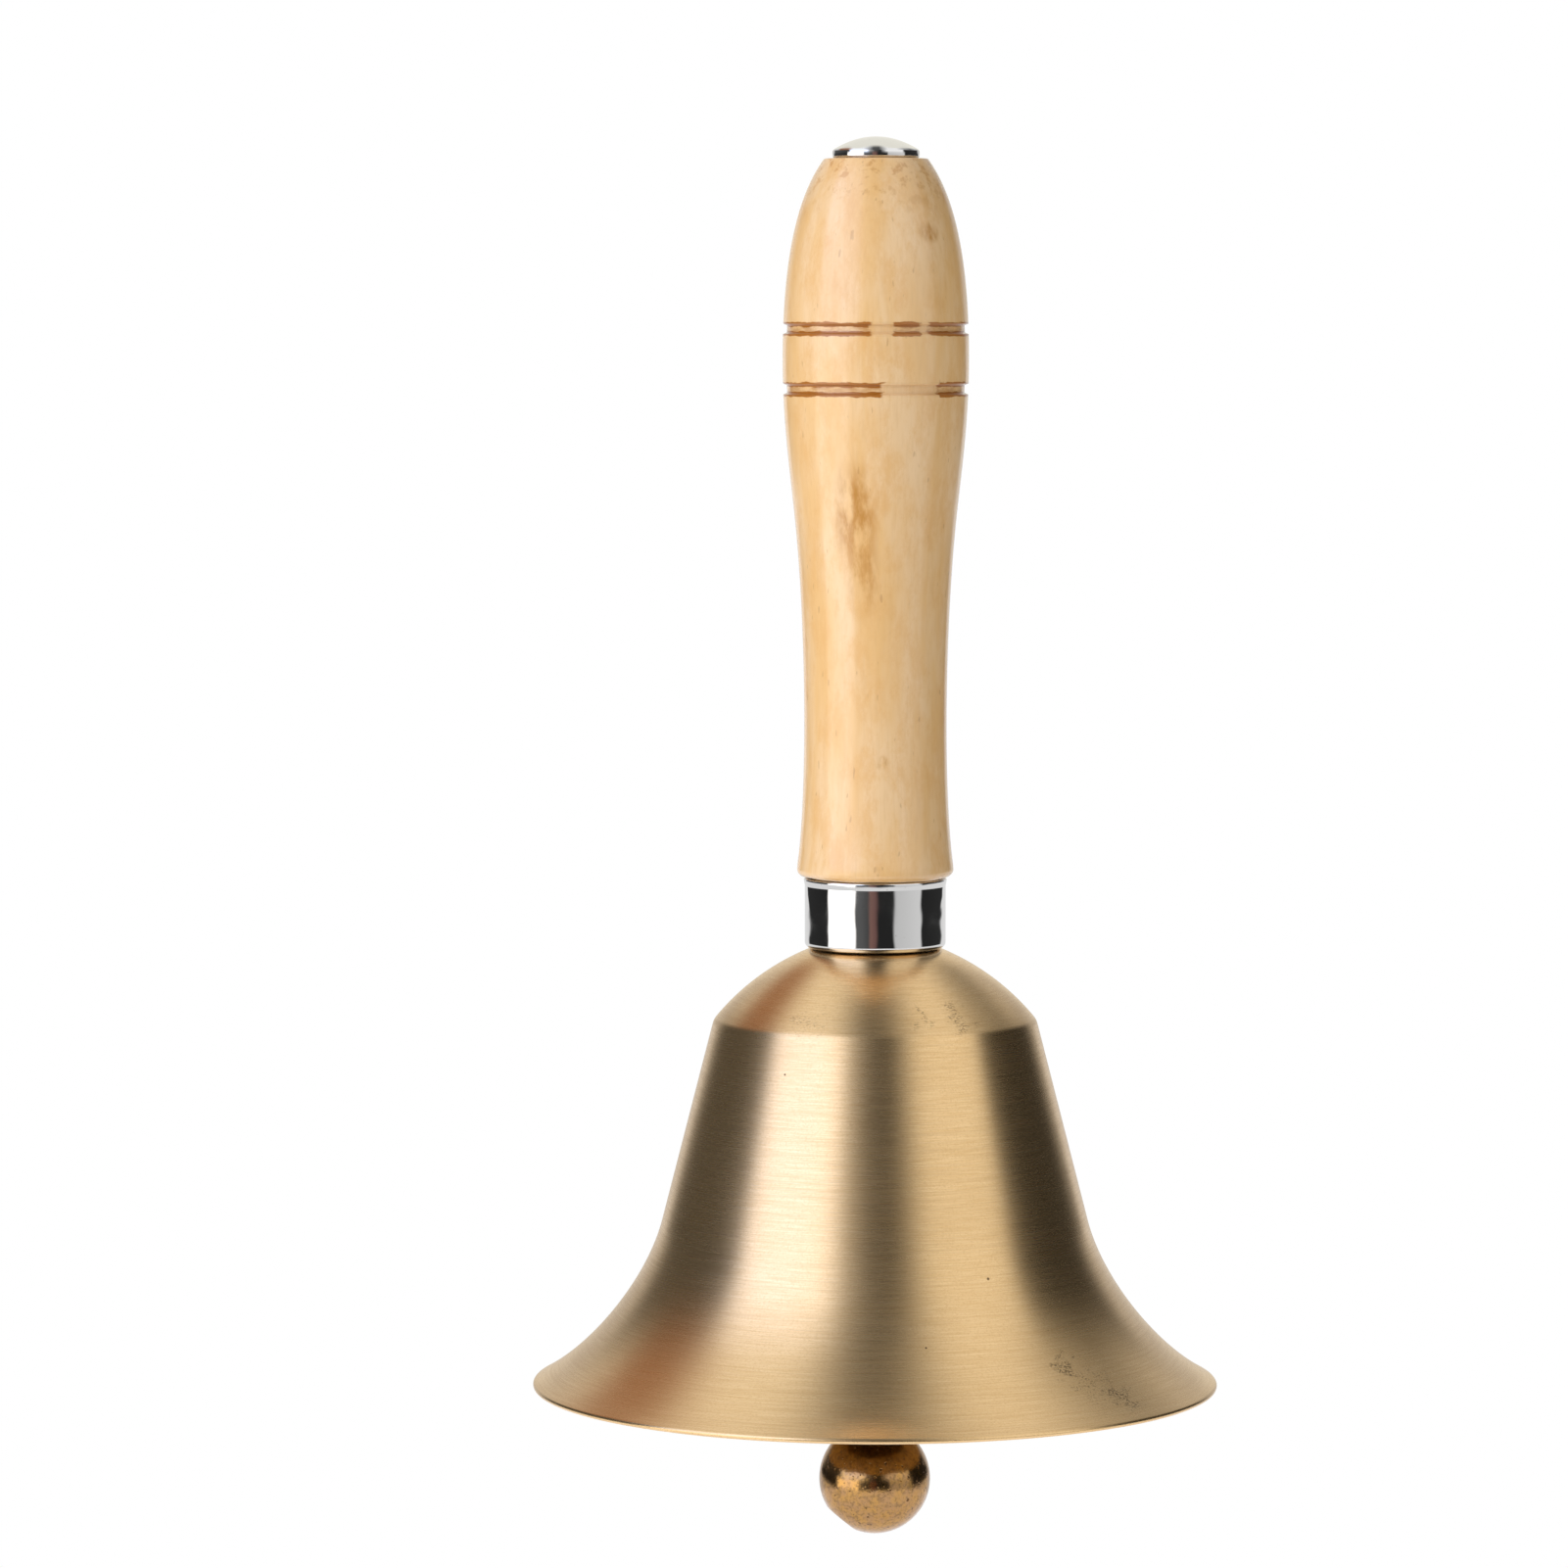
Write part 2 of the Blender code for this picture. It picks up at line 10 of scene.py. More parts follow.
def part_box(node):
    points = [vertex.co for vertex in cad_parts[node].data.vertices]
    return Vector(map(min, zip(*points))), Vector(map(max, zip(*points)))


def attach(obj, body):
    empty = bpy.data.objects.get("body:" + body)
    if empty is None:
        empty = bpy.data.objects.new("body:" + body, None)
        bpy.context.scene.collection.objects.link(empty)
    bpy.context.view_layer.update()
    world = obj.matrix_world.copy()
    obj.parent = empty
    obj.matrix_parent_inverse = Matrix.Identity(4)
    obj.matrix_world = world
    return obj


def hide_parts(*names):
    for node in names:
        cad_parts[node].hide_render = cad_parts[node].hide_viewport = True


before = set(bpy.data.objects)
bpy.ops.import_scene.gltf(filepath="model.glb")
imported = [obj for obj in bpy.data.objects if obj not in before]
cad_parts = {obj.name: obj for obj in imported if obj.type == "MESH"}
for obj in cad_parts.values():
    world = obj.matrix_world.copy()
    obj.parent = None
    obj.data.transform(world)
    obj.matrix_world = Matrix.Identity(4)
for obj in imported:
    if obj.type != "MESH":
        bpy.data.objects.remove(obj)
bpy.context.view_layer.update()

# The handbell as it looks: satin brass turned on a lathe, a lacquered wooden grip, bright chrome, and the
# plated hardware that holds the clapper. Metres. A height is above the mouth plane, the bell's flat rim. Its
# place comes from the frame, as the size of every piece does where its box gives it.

MOUTH_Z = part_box("bell_body")[0].z
MOUTH_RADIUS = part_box("bell_body")[1].x
GAP = 0.0003  # clearance that the CAD solids keep between neighbours

GRIP_BODY = "bell_and_grip"
HANGER_BODY = "swivel_hanger"
CLAPPER_BODY = "clapper"

# Bell
BELL_WALL = 0.0016
LIP_WALL = 0.00105
LIP_ROUNDING = 0.00035
LIP_DIRECTION = 62.0  # degrees from straight down
WAIST_TAPER = 14.4  # degrees from straight down
FLARE_REACH = (0.0073, 0.0074)
FLARE_TOP_HEIGHT = 0.0195
CREASE = (0.01885, 0.0430)  # radius and height of the edge between shoulder and waist
CREASE_WEAR = 0.0005  # reach of the rounding to each side of the crease
SHOULDER_ARC_RADIUS = 0.0277
SHOULDER_ARC_END = 38.7  # degrees above level
CROWN_HEIGHT = 0.0514
CROWN_INSIDE_HEIGHT = 0.0496

# Bolt, its head and its thread
BOLT_RADIUS = 0.0020
BOLT_HOLE_RADIUS = BOLT_RADIUS + GAP
BOLT_END_BEVEL = 0.0005
HEAD_RIM = 0.00110  # height of the head's edge, below the dome
HEAD_ROUNDING = 0.00035
THREAD_PITCH = 0.0007
THREAD_DEPTH = 0.00038
THREAD_STEPS = 9  # rings in one pitch
THREAD_RUN_OUT = 0.0005  # smooth length above the thread
BORE_CLEARANCE = 0.0001  # between the bolt and a washer's bore

# Ferrule
FERRULE_WALL = 0.0008
FERRULE_FLOOR = 0.0010
FERRULE_FOOT_ROUNDING = 0.0007
FERRULE_BORE_ROUNDINGS = (0.0002, 0.0003)  # at the rim and at the floor
FERRULE_LIFT = 0.0001  # above the crown, where it sits
FERRULE_FLARE = 0.00012
FERRULE_FLARE_DROP = (0.00030, 0.00090)  # below the top, where the flare is widest and where it starts
FERRULE_FLARE_ROUNDING = 0.00040
FERRULE_RIM_ROUNDING = 0.00022

# Grip
HANDLE_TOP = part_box("handle")[1].z - MOUTH_Z
HANDLE_TOP_RADIUS = 0.0060
HANDLE_TOP_DIRECTION = 53.5  # degrees above level
HANDLE_TOP_ROUNDING = 0.00022
BELLY = (0.01080, 0.1200)
GRIP_RISE = (0.00960, 0.1035)
GRIP_RISE_DIRECTION = 6.6  # degrees from straight down
WAIST = (0.00828, 0.0775)
HANDLE_FOOT = (0.00911, 0.0610)
HANDLE_FOOT_DIRECTION = 9.1  # degrees from straight down
HANDLE_FOOT_ROUNDING = 0.0010
FOOT_WEAR = 0.00016
# How far each curve of the grip, from the top down, holds its first and its last direction
GRIP_REACHES = ((0.0051, 0.0118), (0.0060, 0.0060), (0.0083, 0.0081), (0.0050, 0.0039))
GROOVES = ((0.11587, 0.11712), (0.12284, 0.12402))
GROOVE_DEPTH = 0.00045
GROOVE_SLOPE = 0.00018
GROOVE_ROUNDING = 0.00010

# Nuts and washers
NUT_ACROSS_FLATS = 0.0070
NUT_FACE_SHARE = 0.95  # of the flats' half width, that the chamfer leaves flat
NUT_CORNER_SHARE = 0.985  # of the corner's radius, where it is worn
NUT_CHAMFER = 30.0  # degrees
NUT_COUNTERSINK = 0.0003
NUT_CLEARANCE = 0.00003
WASHER_ROUNDING_SHARE = 0.22  # of the thickness
SPLIT_WIDTH = 0.00070
SPLIT_LIFT = 0.00012  # between the heights of the split washer's two ends
SPLIT_ROUNDING = 0.0001

# Hanger, pin and clapper
STRIP_THICKNESS = 0.0012
STRIP_BEND = 0.0010
STRIP_ROUNDING = 0.00022
PIN_HEIGHT = 0.0319
PIN_RADIUS = 0.0010
PIN_CLEARANCE = 0.00005
PIN_HEAD_RISE = 0.0007
PIN_HEAD_EDGE = 0.00008  # upright part of the head's rim
PIN_HEAD_TAPER = 0.00012
WIRE_RADIUS = 0.0010
EYE_START = -30.0  # degrees round the pin, where the wire's free end stands
EYE_END = 235.0
STEM_BEND_RADIUS = 0.0016
WIRE_END_EASE = 0.25  # of the wire's radius, taken off the edge of its free end
BALL_HOLE_DEPTH = 0.0060
BALL_HOLE_CLEARANCE = 0.00008

FINE = 256  # segments round the bell
MEDIUM = 144
SMALL = 96
WIRE_SIDES = 24
SHARP_ANGLE = 38.0  # degrees between faces, above which an edge is shaded sharp
MERGE_DISTANCE = 1e-7

AT_PIN = Matrix.Translation((0.0, 0.0, MOUTH_Z + PIN_HEIGHT))
ALONG_PIN = AT_PIN @ Matrix.Rotation(math.radians(90.0), 4, "X")


# Outlines in the profile plane: x is the radius and z the height


def point(radius, height):
    return Vector((radius, 0.0, height))


def level(degrees):
    """Direction turned upwards from level."""
    return point(math.cos(math.radians(degrees)), math.sin(math.radians(degrees)))


def down(degrees):
    """Direction turned outwards from straight down."""
    return point(math.sin(math.radians(degrees)), -math.cos(math.radians(degrees)))


def arc(centre, radius, start, end, count):
    """Points from start to end, in degrees above level."""
    return [centre + radius * level(angle) for angle in np.linspace(start, end, count)]


def rounded(corners, steps=6):
    """Closed outline from (radius, height, rounding) corners, with an arc where the rounding isn't zero."""
    outline = []
    for index, (radius, height, rounding) in enumerate(corners):
        corner = point(radius, height)
        if not rounding:
            outline.append(corner)
            continue
        before = (point(*corners[index - 1][:2]) - corner).normalized()
        after = (point(*corners[(index + 1) % len(corners)][:2]) - corner).normalized()
        half = before.angle(after) / 2
        centre = corner + (before + after).normalized() * rounding / math.sin(half)
        first = corner + before * rounding / math.tan(half) - centre
        last = corner + after * rounding / math.tan(half) - centre
        for share in np.linspace(0.0, 1.0, steps):
            outline.append(centre + first.lerp(last, share).normalized() * rounding)
    return outline


# Meshes


def skin(name, rings, closed=False, caps=(None, None), matrix=None):
    """A mesh over rings of equal length. caps are middle points that close the first and the last ring."""
    rings = np.asarray(rings, dtype=float)
    rows, count = rings.shape[:2]
    verts = rings.reshape(-1, 3).tolist()
    faces = []
    for row in range(rows if closed else rows - 1):
        here, there = row * count, (row + 1) % rows * count
        for step in range(count):
            beside = (step + 1) % count
            faces.append((here + step, here + beside, there + beside, there + step))
    for row, middle in zip((0, rows - 1), caps):
        if middle is None:
            continue
        verts.append(tuple(middle))
        for step in range(count):
            faces.append((row * count + step, row * count + (step + 1) % count, len(verts) - 1))
    mesh = bpy.data.meshes.new(name)
    mesh.from_pydata(verts, [], faces)
    if matrix:
        mesh.transform(matrix)
    made = bpy.data.objects.new(name, mesh)
    bpy.context.scene.collection.objects.link(made)
    clean(mesh)
    return made


def clean(mesh):
    bm = bmesh.new()
    bm.from_mesh(mesh)
    bmesh.ops.remove_doubles(bm, verts=bm.verts, dist=MERGE_DISTANCE)
    bmesh.ops.recalc_face_normals(bm, faces=bm.faces)
    bm.to_mesh(mesh)
    bm.free()
    mesh.shade_smooth()
    mesh.set_sharp_from_angle(angle=math.radians(SHARP_ANGLE))


def around(segments):
    return np.linspace(0.0, math.tau, segments, endpoint=False)


def turned_rings(outline, segments, base=MOUTH_Z, shape=None):
    """Rings round the Z axis. shape(turn, radius, height) gives each ring's own radii and heights."""
    turn = around(segments)
    rings = []
    for place in outline:
        radius = np.full(segments, place.x)
        height = np.full(segments, place.z)
        if shape:
            radius, height = shape(turn, radius, height)
        rings.append(np.stack([radius * np.cos(turn), radius * np.sin(turn), height + base], axis=1))
    return rings


def cut(piece, cutter):
    """Takes the cutter's shape out of the piece."""
    change = piece.modifiers.new("cut", "BOOLEAN")
    change.operation = "DIFFERENCE"
    change.solver = "EXACT"
    change.object = cutter
    graph = bpy.context.evaluated_depsgraph_get()
    mesh = bpy.data.meshes.new_from_object(piece.evaluated_get(graph))
    piece.modifiers.clear()
    piece.data = mesh
    clean(mesh)
    bpy.data.objects.remove(cutter)


def heading(route, index):
    """Direction of a route at one of its points."""
    before, after = route[max(index - 1, 0)], route[min(index + 1, len(route) - 1)]
    return (after - before).normalized()


def rod(name, radius, low, high, matrix=None):
    outline = [point(radius, low), point(radius, high)]
    caps = (Vector((0, 0, low)), Vector((0, 0, high)))
    return skin(name, turned_rings(outline, SMALL, 0.0), caps=caps, matrix=matrix)


def finish_piece(piece, looks, body, node):
    """Gives a piece its materials, hides the CAD part that it stands for and hangs it on the body that it
    rides on.
    """
    for look in looks:
        piece.data.materials.append(look)
    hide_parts(node)
    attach(piece, body)
    return piece


# Materials


class Nodes:
    """Short calls that add nodes to a tree."""

    def __init__(self, tree):
        self.tree = tree

    def node(self, kind, inputs=(), **settings):
        made = self.tree.nodes.new("ShaderNode" + kind)
        for key, value in settings.items():
            setattr(made, key, value)
        for key, value in dict(inputs).items():
            self.feed(made.inputs[key], value)
        return made

    def feed(self, socket, value):
        if isinstance(value, bpy.types.NodeSocket):
            self.tree.links.new(value, socket)
        else:
            socket.default_value = value

    def math(self, operation, *values):
        return self.node("Math", enumerate(values), operation=operation).outputs[0]

    def length(self, first, second):
        """The long side of a right triangle with these two short sides."""
        squares = self.math("ADD", self.math("MULTIPLY", first, first), self.math("MULTIPLY", second, second))
        return self.math("SQRT", squares)

    def scaled(self, vector, factors):
        return self.node("VectorMath", {0: vector, 1: factors}, operation="MULTIPLY").outputs[0]

    def distance(self, first, second):
        return self.node("VectorMath", {0: first, 1: second}, operation="DISTANCE").outputs["Value"]

    def split(self, vector):
        return self.node("SeparateXYZ", {0: vector}).outputs

    def noise(self, vector, scale, detail=2.0, roughness=0.5, distortion=0.0):
        inputs = {"Vector": vector, "Scale": scale, "Detail": detail}
        inputs.update({"Roughness": roughness, "Distortion": distortion})
        return self.node("TexNoise", inputs).outputs["Fac"]

    def ramp(self, value, low, high, start=0.0, end=1.0):
        """A smooth step from start to end as value goes from low to high."""
        inputs = {"Value": value, "From Min": low, "From Max": high, "To Min": start, "To Max": end}
        return self.node("MapRange", inputs, interpolation_type="SMOOTHSTEP").outputs[0]

    def window(self, value, low, high, soft):
        """One between low and high and nothing outside, over a soft edge."""
        rise = self.ramp(value, low - soft, low + soft)
        fall = self.ramp(value, high - soft, high + soft, 1.0, 0.0)
        return self.math("MULTIPLY", rise, fall)

    def mix(self, factor, first, second, blend="MIX"):
        made = self.node("Mix", data_type="RGBA", blend_type=blend)
        for index, value in ((0, factor), (6, first), (7, second)):
            self.feed(made.inputs[index], value)
        return made.outputs[2]

    def blend(self, value, first, second):
        """A number between first and second, by a value from 0 to 1."""
        return self.math("MULTIPLY_ADD", value, second - first, first)

    def degrees_round(self, x, y):
        """Degrees round the Z axis from the front, positive to the right."""
        turn = self.math("ARCTAN2", x, self.math("MULTIPLY", y, -1.0))
        return self.math("DEGREES", turn)


class Look(Nodes):
    """A material whose shader takes constant settings by name and varying ones from nodes."""

    def __init__(self, name, **constants):
        self.material = bpy.data.materials.new(name)
        self.material.use_nodes = True
        super().__init__(self.material.node_tree)
        self.shader = self.tree.nodes["Principled BSDF"]
        for socket, value in constants.items():
            self.shader.inputs[socket.replace("_", " ")].default_value = value
        self.place = self.node("TexCoord").outputs["Object"]
        self.x, self.y, self.z = self.split(self.place)

    def height(self):
        return self.math("SUBTRACT", self.z, MOUTH_Z)

    def turning(self, fineness, stroke, detail=1.0):
        """Noise drawn out round the Z axis: fineness is lines per metre and stroke the marks in a radian."""
        across = self.length(self.x, self.y)
        cosine = self.math("DIVIDE", self.x, across)
        sine = self.math("DIVIDE", self.y, across)
        vector = self.node(
            "CombineXYZ",
            {
                0: self.math("MULTIPLY", across, fineness),
                1: self.math("MULTIPLY", self.z, fineness),
                2: self.math("MULTIPLY", cosine, stroke),
            },
        ).outputs[0]
        inputs = {"Vector": vector, "W": self.math("MULTIPLY", sine, stroke), "Scale": 1.0, "Detail": detail}
        return self.node("TexNoise", inputs, noise_dimensions="4D").outputs["Fac"]

    def finish(self, colour, roughness, height, depth):
        """Links colour, roughness and a bump of the given depth, and gives the material."""
        self.feed(self.shader.inputs["Base Color"], colour)
        self.feed(self.shader.inputs["Roughness"], roughness)
        bump = self.node("Bump", {"Height": height, "Distance": depth, "Strength": 1.0})
        self.tree.links.new(bump.outputs[0], self.shader.inputs["Normal"])
        return self.material


def rgb(red, green, blue):
    return (red, green, blue, 1.0)


def on_bell(degrees, height):
    """The point of the bell's outer face at degrees from the front and a height."""
    radius = np.interp(height, [place.z for place in BELL_OUTLINE], [place.x for place in BELL_OUTLINE])
    turn = math.radians(degrees)
    return Vector((radius * math.sin(turn), -radius * math.cos(turn), height + MOUTH_Z))


# Degrees from the front, height, reach, how much of it is spared and strength of each scuff
SCUFFS = (
    (46.0, 0.0040, 0.0044, 0.56, 0.60),
    (50.0, 0.0026, 0.0024, 0.45, 0.75),
    (41.0, 0.0062, 0.0022, 0.47, 0.70),
    (33.0, 0.0447, 0.0022, 0.50, 0.55),
    (18.0, 0.0447, 0.0012, 0.52, 0.50),
    (-26.0, 0.0443, 0.0022, 0.53, 0.45),
    (160.0, 0.0030, 0.0030, 0.55, 0.50),
    (-120.0, 0.0446, 0.0024, 0.53, 0.45),
)
# Degrees from the front, height and size of each pit
PITS = ((-31.0, 0.0386, 0.00016), (29.5, 0.0160, 0.00022), (11.0, 0.0092, 0.00016), (140.0, 0.0250, 0.00020))


def satin_brass():
    """Brass brushed on the lathe: fine lines round the axis, faint patina, a few pits and scuffs from use."""
    look = Look("satin_brass", Metallic=1.0)
    hairs = look.turning(11000.0, 7.0, 2.0)
    lines = look.turning(4200.0, 2.2, 2.0)
    cloud = look.noise(look.place, 55.0, 4.0)
    grain = look.noise(look.place, 4500.0, 2.0)
    colour = look.mix(look.ramp(hairs, 0.25, 0.75), rgb(0.74, 0.495, 0.235), rgb(0.86, 0.61, 0.325))
    colour = look.mix(look.ramp(grain, 0.45, 0.70, 0.0, 0.38), colour, rgb(0.62, 0.40, 0.18))
    colour = look.mix(look.ramp(lines, 0.42, 0.72, 0.0, 0.22), colour, rgb(0.60, 0.39, 0.175))
    colour = look.mix(look.ramp(cloud, 0.45, 0.75, 0.0, 0.30), colour, rgb(0.68, 0.45, 0.21))
    grit = look.noise(look.scaled(look.place, (1.0, 1.0, 2.2)), 3400.0, 2.0)
    height = look.math("ADD", look.math("MULTIPLY", hairs, 0.6), look.math("MULTIPLY", lines, 0.8))
    ragged = look.blend(look.noise(look.place, 700.0, 3.0), -0.0045, 0.0045)
    for degrees, up, reach, low, strength in SCUFFS:
        away = look.math("ADD", look.distance(look.place, on_bell(degrees, up)), ragged)
        near = look.ramp(away, reach, reach * 0.15)
        worn = look.math("MULTIPLY", near, look.ramp(grit, low, low + 0.09))
        colour = look.mix(look.math("MULTIPLY", worn, strength), colour, rgb(0.13, 0.085, 0.04))
        height = look.math("SUBTRACT", height, look.math("MULTIPLY", worn, 2.0))
    for degrees, up, size in PITS:
        pit = look.ramp(look.distance(look.place, on_bell(degrees, up)), size, size * 0.5)
        colour = look.mix(look.math("MULTIPLY", pit, 0.85), colour, rgb(0.06, 0.03, 0.015))
    roughness = look.math("ADD", look.blend(lines, 0.22, 0.30), look.blend(cloud, -0.02, 0.04))
    return look.finish(colour, roughness, height, 0.0000035)


def inner_brass_painted_shade():
    """The turned inside of the bell: coarser, its own finish, and darker, which is painted shade of the
    hollow.
    """
    look = Look("inner_brass_painted_shade", Metallic=1.0)
    rings = look.turning(3200.0, 1.8, 3.0)
    hairs = look.turning(6000.0, 10.0, 1.0)
    cloud = look.noise(look.place, 90.0, 4.0)
    # Dark brass colours: painted shade of the hollow inside the bell
    colour = look.mix(look.ramp(rings, 0.30, 0.70), rgb(0.26, 0.165, 0.055), rgb(0.42, 0.28, 0.115))
    colour = look.mix(look.ramp(cloud, 0.45, 0.75, 0.0, 0.55), colour, rgb(0.15, 0.09, 0.035))
    height = look.math("ADD", rings, look.math("MULTIPLY", hairs, 0.3))
    return look.finish(colour, look.blend(cloud, 0.30, 0.48), height, 0.000012)


def aged_brass():
    """The ball, cast and handled: speckled, pitted and darker than the bell."""
    look = Look("aged_brass", Metallic=1.0)
    grit = look.noise(look.place, 2600.0, 3.0, 0.6)
    patches = look.noise(look.place, 900.0, 4.0, 0.6)
    colour = look.mix(look.ramp(patches, 0.35, 0.65), rgb(0.50, 0.275, 0.085), rgb(0.44, 0.25, 0.11))
    colour = look.mix(look.ramp(grit, 0.44, 0.66, 0.0, 0.60), colour, rgb(0.20, 0.12, 0.055))
    pits = look.ramp(look.noise(look.place, 1900.0, 1.0), 0.68, 0.76)
    colour = look.mix(look.math("MULTIPLY", pits, 0.8), colour, rgb(0.12, 0.06, 0.02))
    height = look.math("SUBTRACT", look.math("MULTIPLY", patches, 0.8), pits)
    return look.finish(colour, look.blend(grit, 0.08, 0.26), height, 0.000034)


def chrome():
    """Bright plating with faint handling marks."""
    look = Look("chrome", Metallic=1.0)
    smears = look.noise(look.place, 260.0, 4.0)
    specks = look.ramp(look.noise(look.place, 3000.0, 2.0), 0.72, 0.78)
    colour = look.mix(look.math("MULTIPLY", specks, 0.5), rgb(0.80, 0.795, 0.79), rgb(0.30, 0.27, 0.25))
    roughness = look.ramp(smears, 0.35, 0.80, 0.035, 0.12)
    drawn = look.noise(look.place, 240.0, 1.0)
    height = look.math("ADD", look.noise(look.place, 500.0, 2.0), look.math("MULTIPLY", drawn, 22.0))
    return look.finish(colour, roughness, height, 0.0000040)


def zinc():
    """Zinc-plated steel: pale grey with a faint spangle and duller patches."""
    look = Look("zinc_plate", Metallic=1.0)
    spangle = look.noise(look.place, 1400.0, 2.0)
    dull = look.noise(look.place, 320.0, 4.0)
    colour = look.mix(spangle, rgb(0.50, 0.51, 0.53), rgb(0.72, 0.73, 0.75))
    colour = look.mix(look.ramp(dull, 0.48, 0.72, 0.0, 0.6), colour, rgb(0.36, 0.35, 0.33))
    return look.finish(colour, look.blend(dull, 0.24, 0.46), spangle, 0.000010)


def steel_wire():
    """Drawn wire, with the die's fine lines along it and light oxide."""
    look = Look("steel_wire", Metallic=1.0)
    drawn = look.noise(look.scaled(look.place, (1.0, 1.0, 0.06)), 5000.0, 2.0)
    oxide = look.noise(look.place, 700.0, 4.0)
    colour = look.mix(drawn, rgb(0.36, 0.36, 0.37), rgb(0.56, 0.56, 0.57))
    colour = look.mix(look.ramp(oxide, 0.52, 0.75, 0.0, 0.5), colour, rgb(0.22, 0.17, 0.13))
    return look.finish(colour, look.blend(oxide, 0.22, 0.45), drawn, 0.000010)


# Degrees from the front where the burnt-in colour of each groove is missing
GROOVE_CLEAR = (
    (GROOVES[0], ((4.0, 43.0), (118.0, 150.0), (-158.0, -131.0))),
    (GROOVES[1], ((-3.0, 11.0), (29.0, 34.0), (104.0, 126.0), (-140.0, -110.0))),
)
# Degrees from the front, height, half width in degrees, half height and strength of each stain; the first
# two, where the thumb held the grip, are partly a painted shadow of the thumb
STAINS_AND_THUMB_SHADOW = (
    (-15.0, 0.1020, 21.0, 0.0080, 0.85),
    (-9.0, 0.0950, 17.0, 0.0060, 0.60),
    (40.0, 0.1345, 11.0, 0.0016, 1.00),
    (5.0, 0.0737, 7.0, 0.0011, 1.00),
    (140.0, 0.0900, 26.0, 0.0060, 0.40),
)


def lacquered_wood():
    """Pale close-grained hardwood under clear lacquer, with handling marks, a painted shadow of the thumb in
    the stains where it held the grip, and stain in its scored lines.
    """
    look = Look("lacquered_wood", Coat_Weight=1.0, Coat_Roughness=0.14, Coat_IOR=1.5)
    height = look.height()
    degrees = look.degrees_round(look.x, look.y)
    along = look.scaled(look.place, (1.0, 1.0, 0.22))
    broad = look.noise(along, 260.0, 3.0, 0.55, 0.4)
    streaks = look.noise(along, 1100.0, 3.0, 0.6, 0.3)
    fibres = look.noise(look.scaled(look.place, (1.0, 1.0, 0.05)), 4200.0, 2.0)
    mottle = look.noise(look.scaled(look.place, (1.0, 1.0, 0.5)), 360.0, 8.0, 0.78)
    colour = look.mix(look.ramp(broad, 0.34, 0.68), rgb(0.77, 0.47, 0.18), rgb(0.81, 0.55, 0.28))
    colour = look.mix(look.ramp(streaks, 0.50, 0.75, 0.0, 0.22), colour, rgb(0.68, 0.38, 0.14))
    colour = look.mix(look.ramp(fibres, 0.45, 0.75, 0.0, 0.14), colour, rgb(0.58, 0.34, 0.14))
    colour = look.mix(look.ramp(mottle, 0.44, 0.66, 0.0, 0.60), colour, rgb(0.72, 0.395, 0.125))
    flecks = look.noise(look.scaled(look.place, (1.0, 1.0, 0.30)), 1700.0, 1.0)
    colour = look.mix(look.ramp(flecks, 0.71, 0.77, 0.0, 0.35), colour, rgb(0.38, 0.17, 0.05))

    blots = look.noise(look.place, 620.0, 4.0, 0.65)
    near_top = look.ramp(height, HANDLE_TOP - 0.0085, HANDLE_TOP - 0.0005)
    crown = look.math("MULTIPLY", near_top, look.ramp(blots, 0.50, 0.62))
    colour = look.mix(look.math("MULTIPLY", crown, 0.65), colour, rgb(0.54, 0.25, 0.055))
    stain_and_shadow_edges = look.noise(look.scaled(look.place, (1.0, 1.0, 0.35)), 560.0, 4.0, 0.6)
    # Brown stains; the first two are partly a painted shadow of the thumb that held the grip
    for turn, up, across, tall, strength in STAINS_AND_THUMB_SHADOW:
        beside = look.math("DIVIDE", look.math("SUBTRACT", degrees, turn), across)
        above = look.math("DIVIDE", look.math("SUBTRACT", height, up), tall)
        near = look.ramp(look.length(beside, above), 1.0, 0.30)
        stain_and_thumb_shadow = look.math("MULTIPLY", near, look.ramp(stain_and_shadow_edges, 0.34, 0.64))
        colour = look.mix(look.math("MULTIPLY", stain_and_thumb_shadow, strength), colour, rgb(0.45, 0.175, 0.002))

    ragged = look.noise(look.scaled(look.place, (1.0, 1.0, 3.0)), 520.0, 3.0, 0.6)
    wander = look.blend(ragged, -0.00030, 0.00030)
    for (low, high), gaps in GROOVE_CLEAR:
        held = look.math("ADD", height, wander)
        lines = look.math(
            "MAXIMUM",
            look.window(held, low - 0.00022, low + 0.00036, 0.00006),
            look.window(held, high - 0.00036, high + 0.00022, 0.00006),
        )
        floor = look.math("MULTIPLY", look.window(height, low, high, 0.00010), 0.45)
        burnt = look.math("MAXIMUM", lines, look.math("MULTIPLY", floor, look.ramp(ragged, 0.35, 0.60)))
        turned = look.math("ADD", degrees, look.blend(ragged, -5.0, 5.0))
        for start, end in gaps:
            away = look.math("SUBTRACT", 1.0, look.window(turned, start, end, 1.2))
            burnt = look.math("MULTIPLY", burnt, look.math("MAXIMUM", away, 0.08))
        colour = look.mix(burnt, colour, rgb(0.36, 0.115, 0.001))

    pores = look.ramp(flecks, 0.71, 0.79, 0.0, 0.4)
    relief = look.math("SUBTRACT", look.math("MULTIPLY", streaks, 0.5), pores)
    return look.finish(colour, look.blend(streaks, 0.42, 0.56), relief, 0.000015)


# Bell


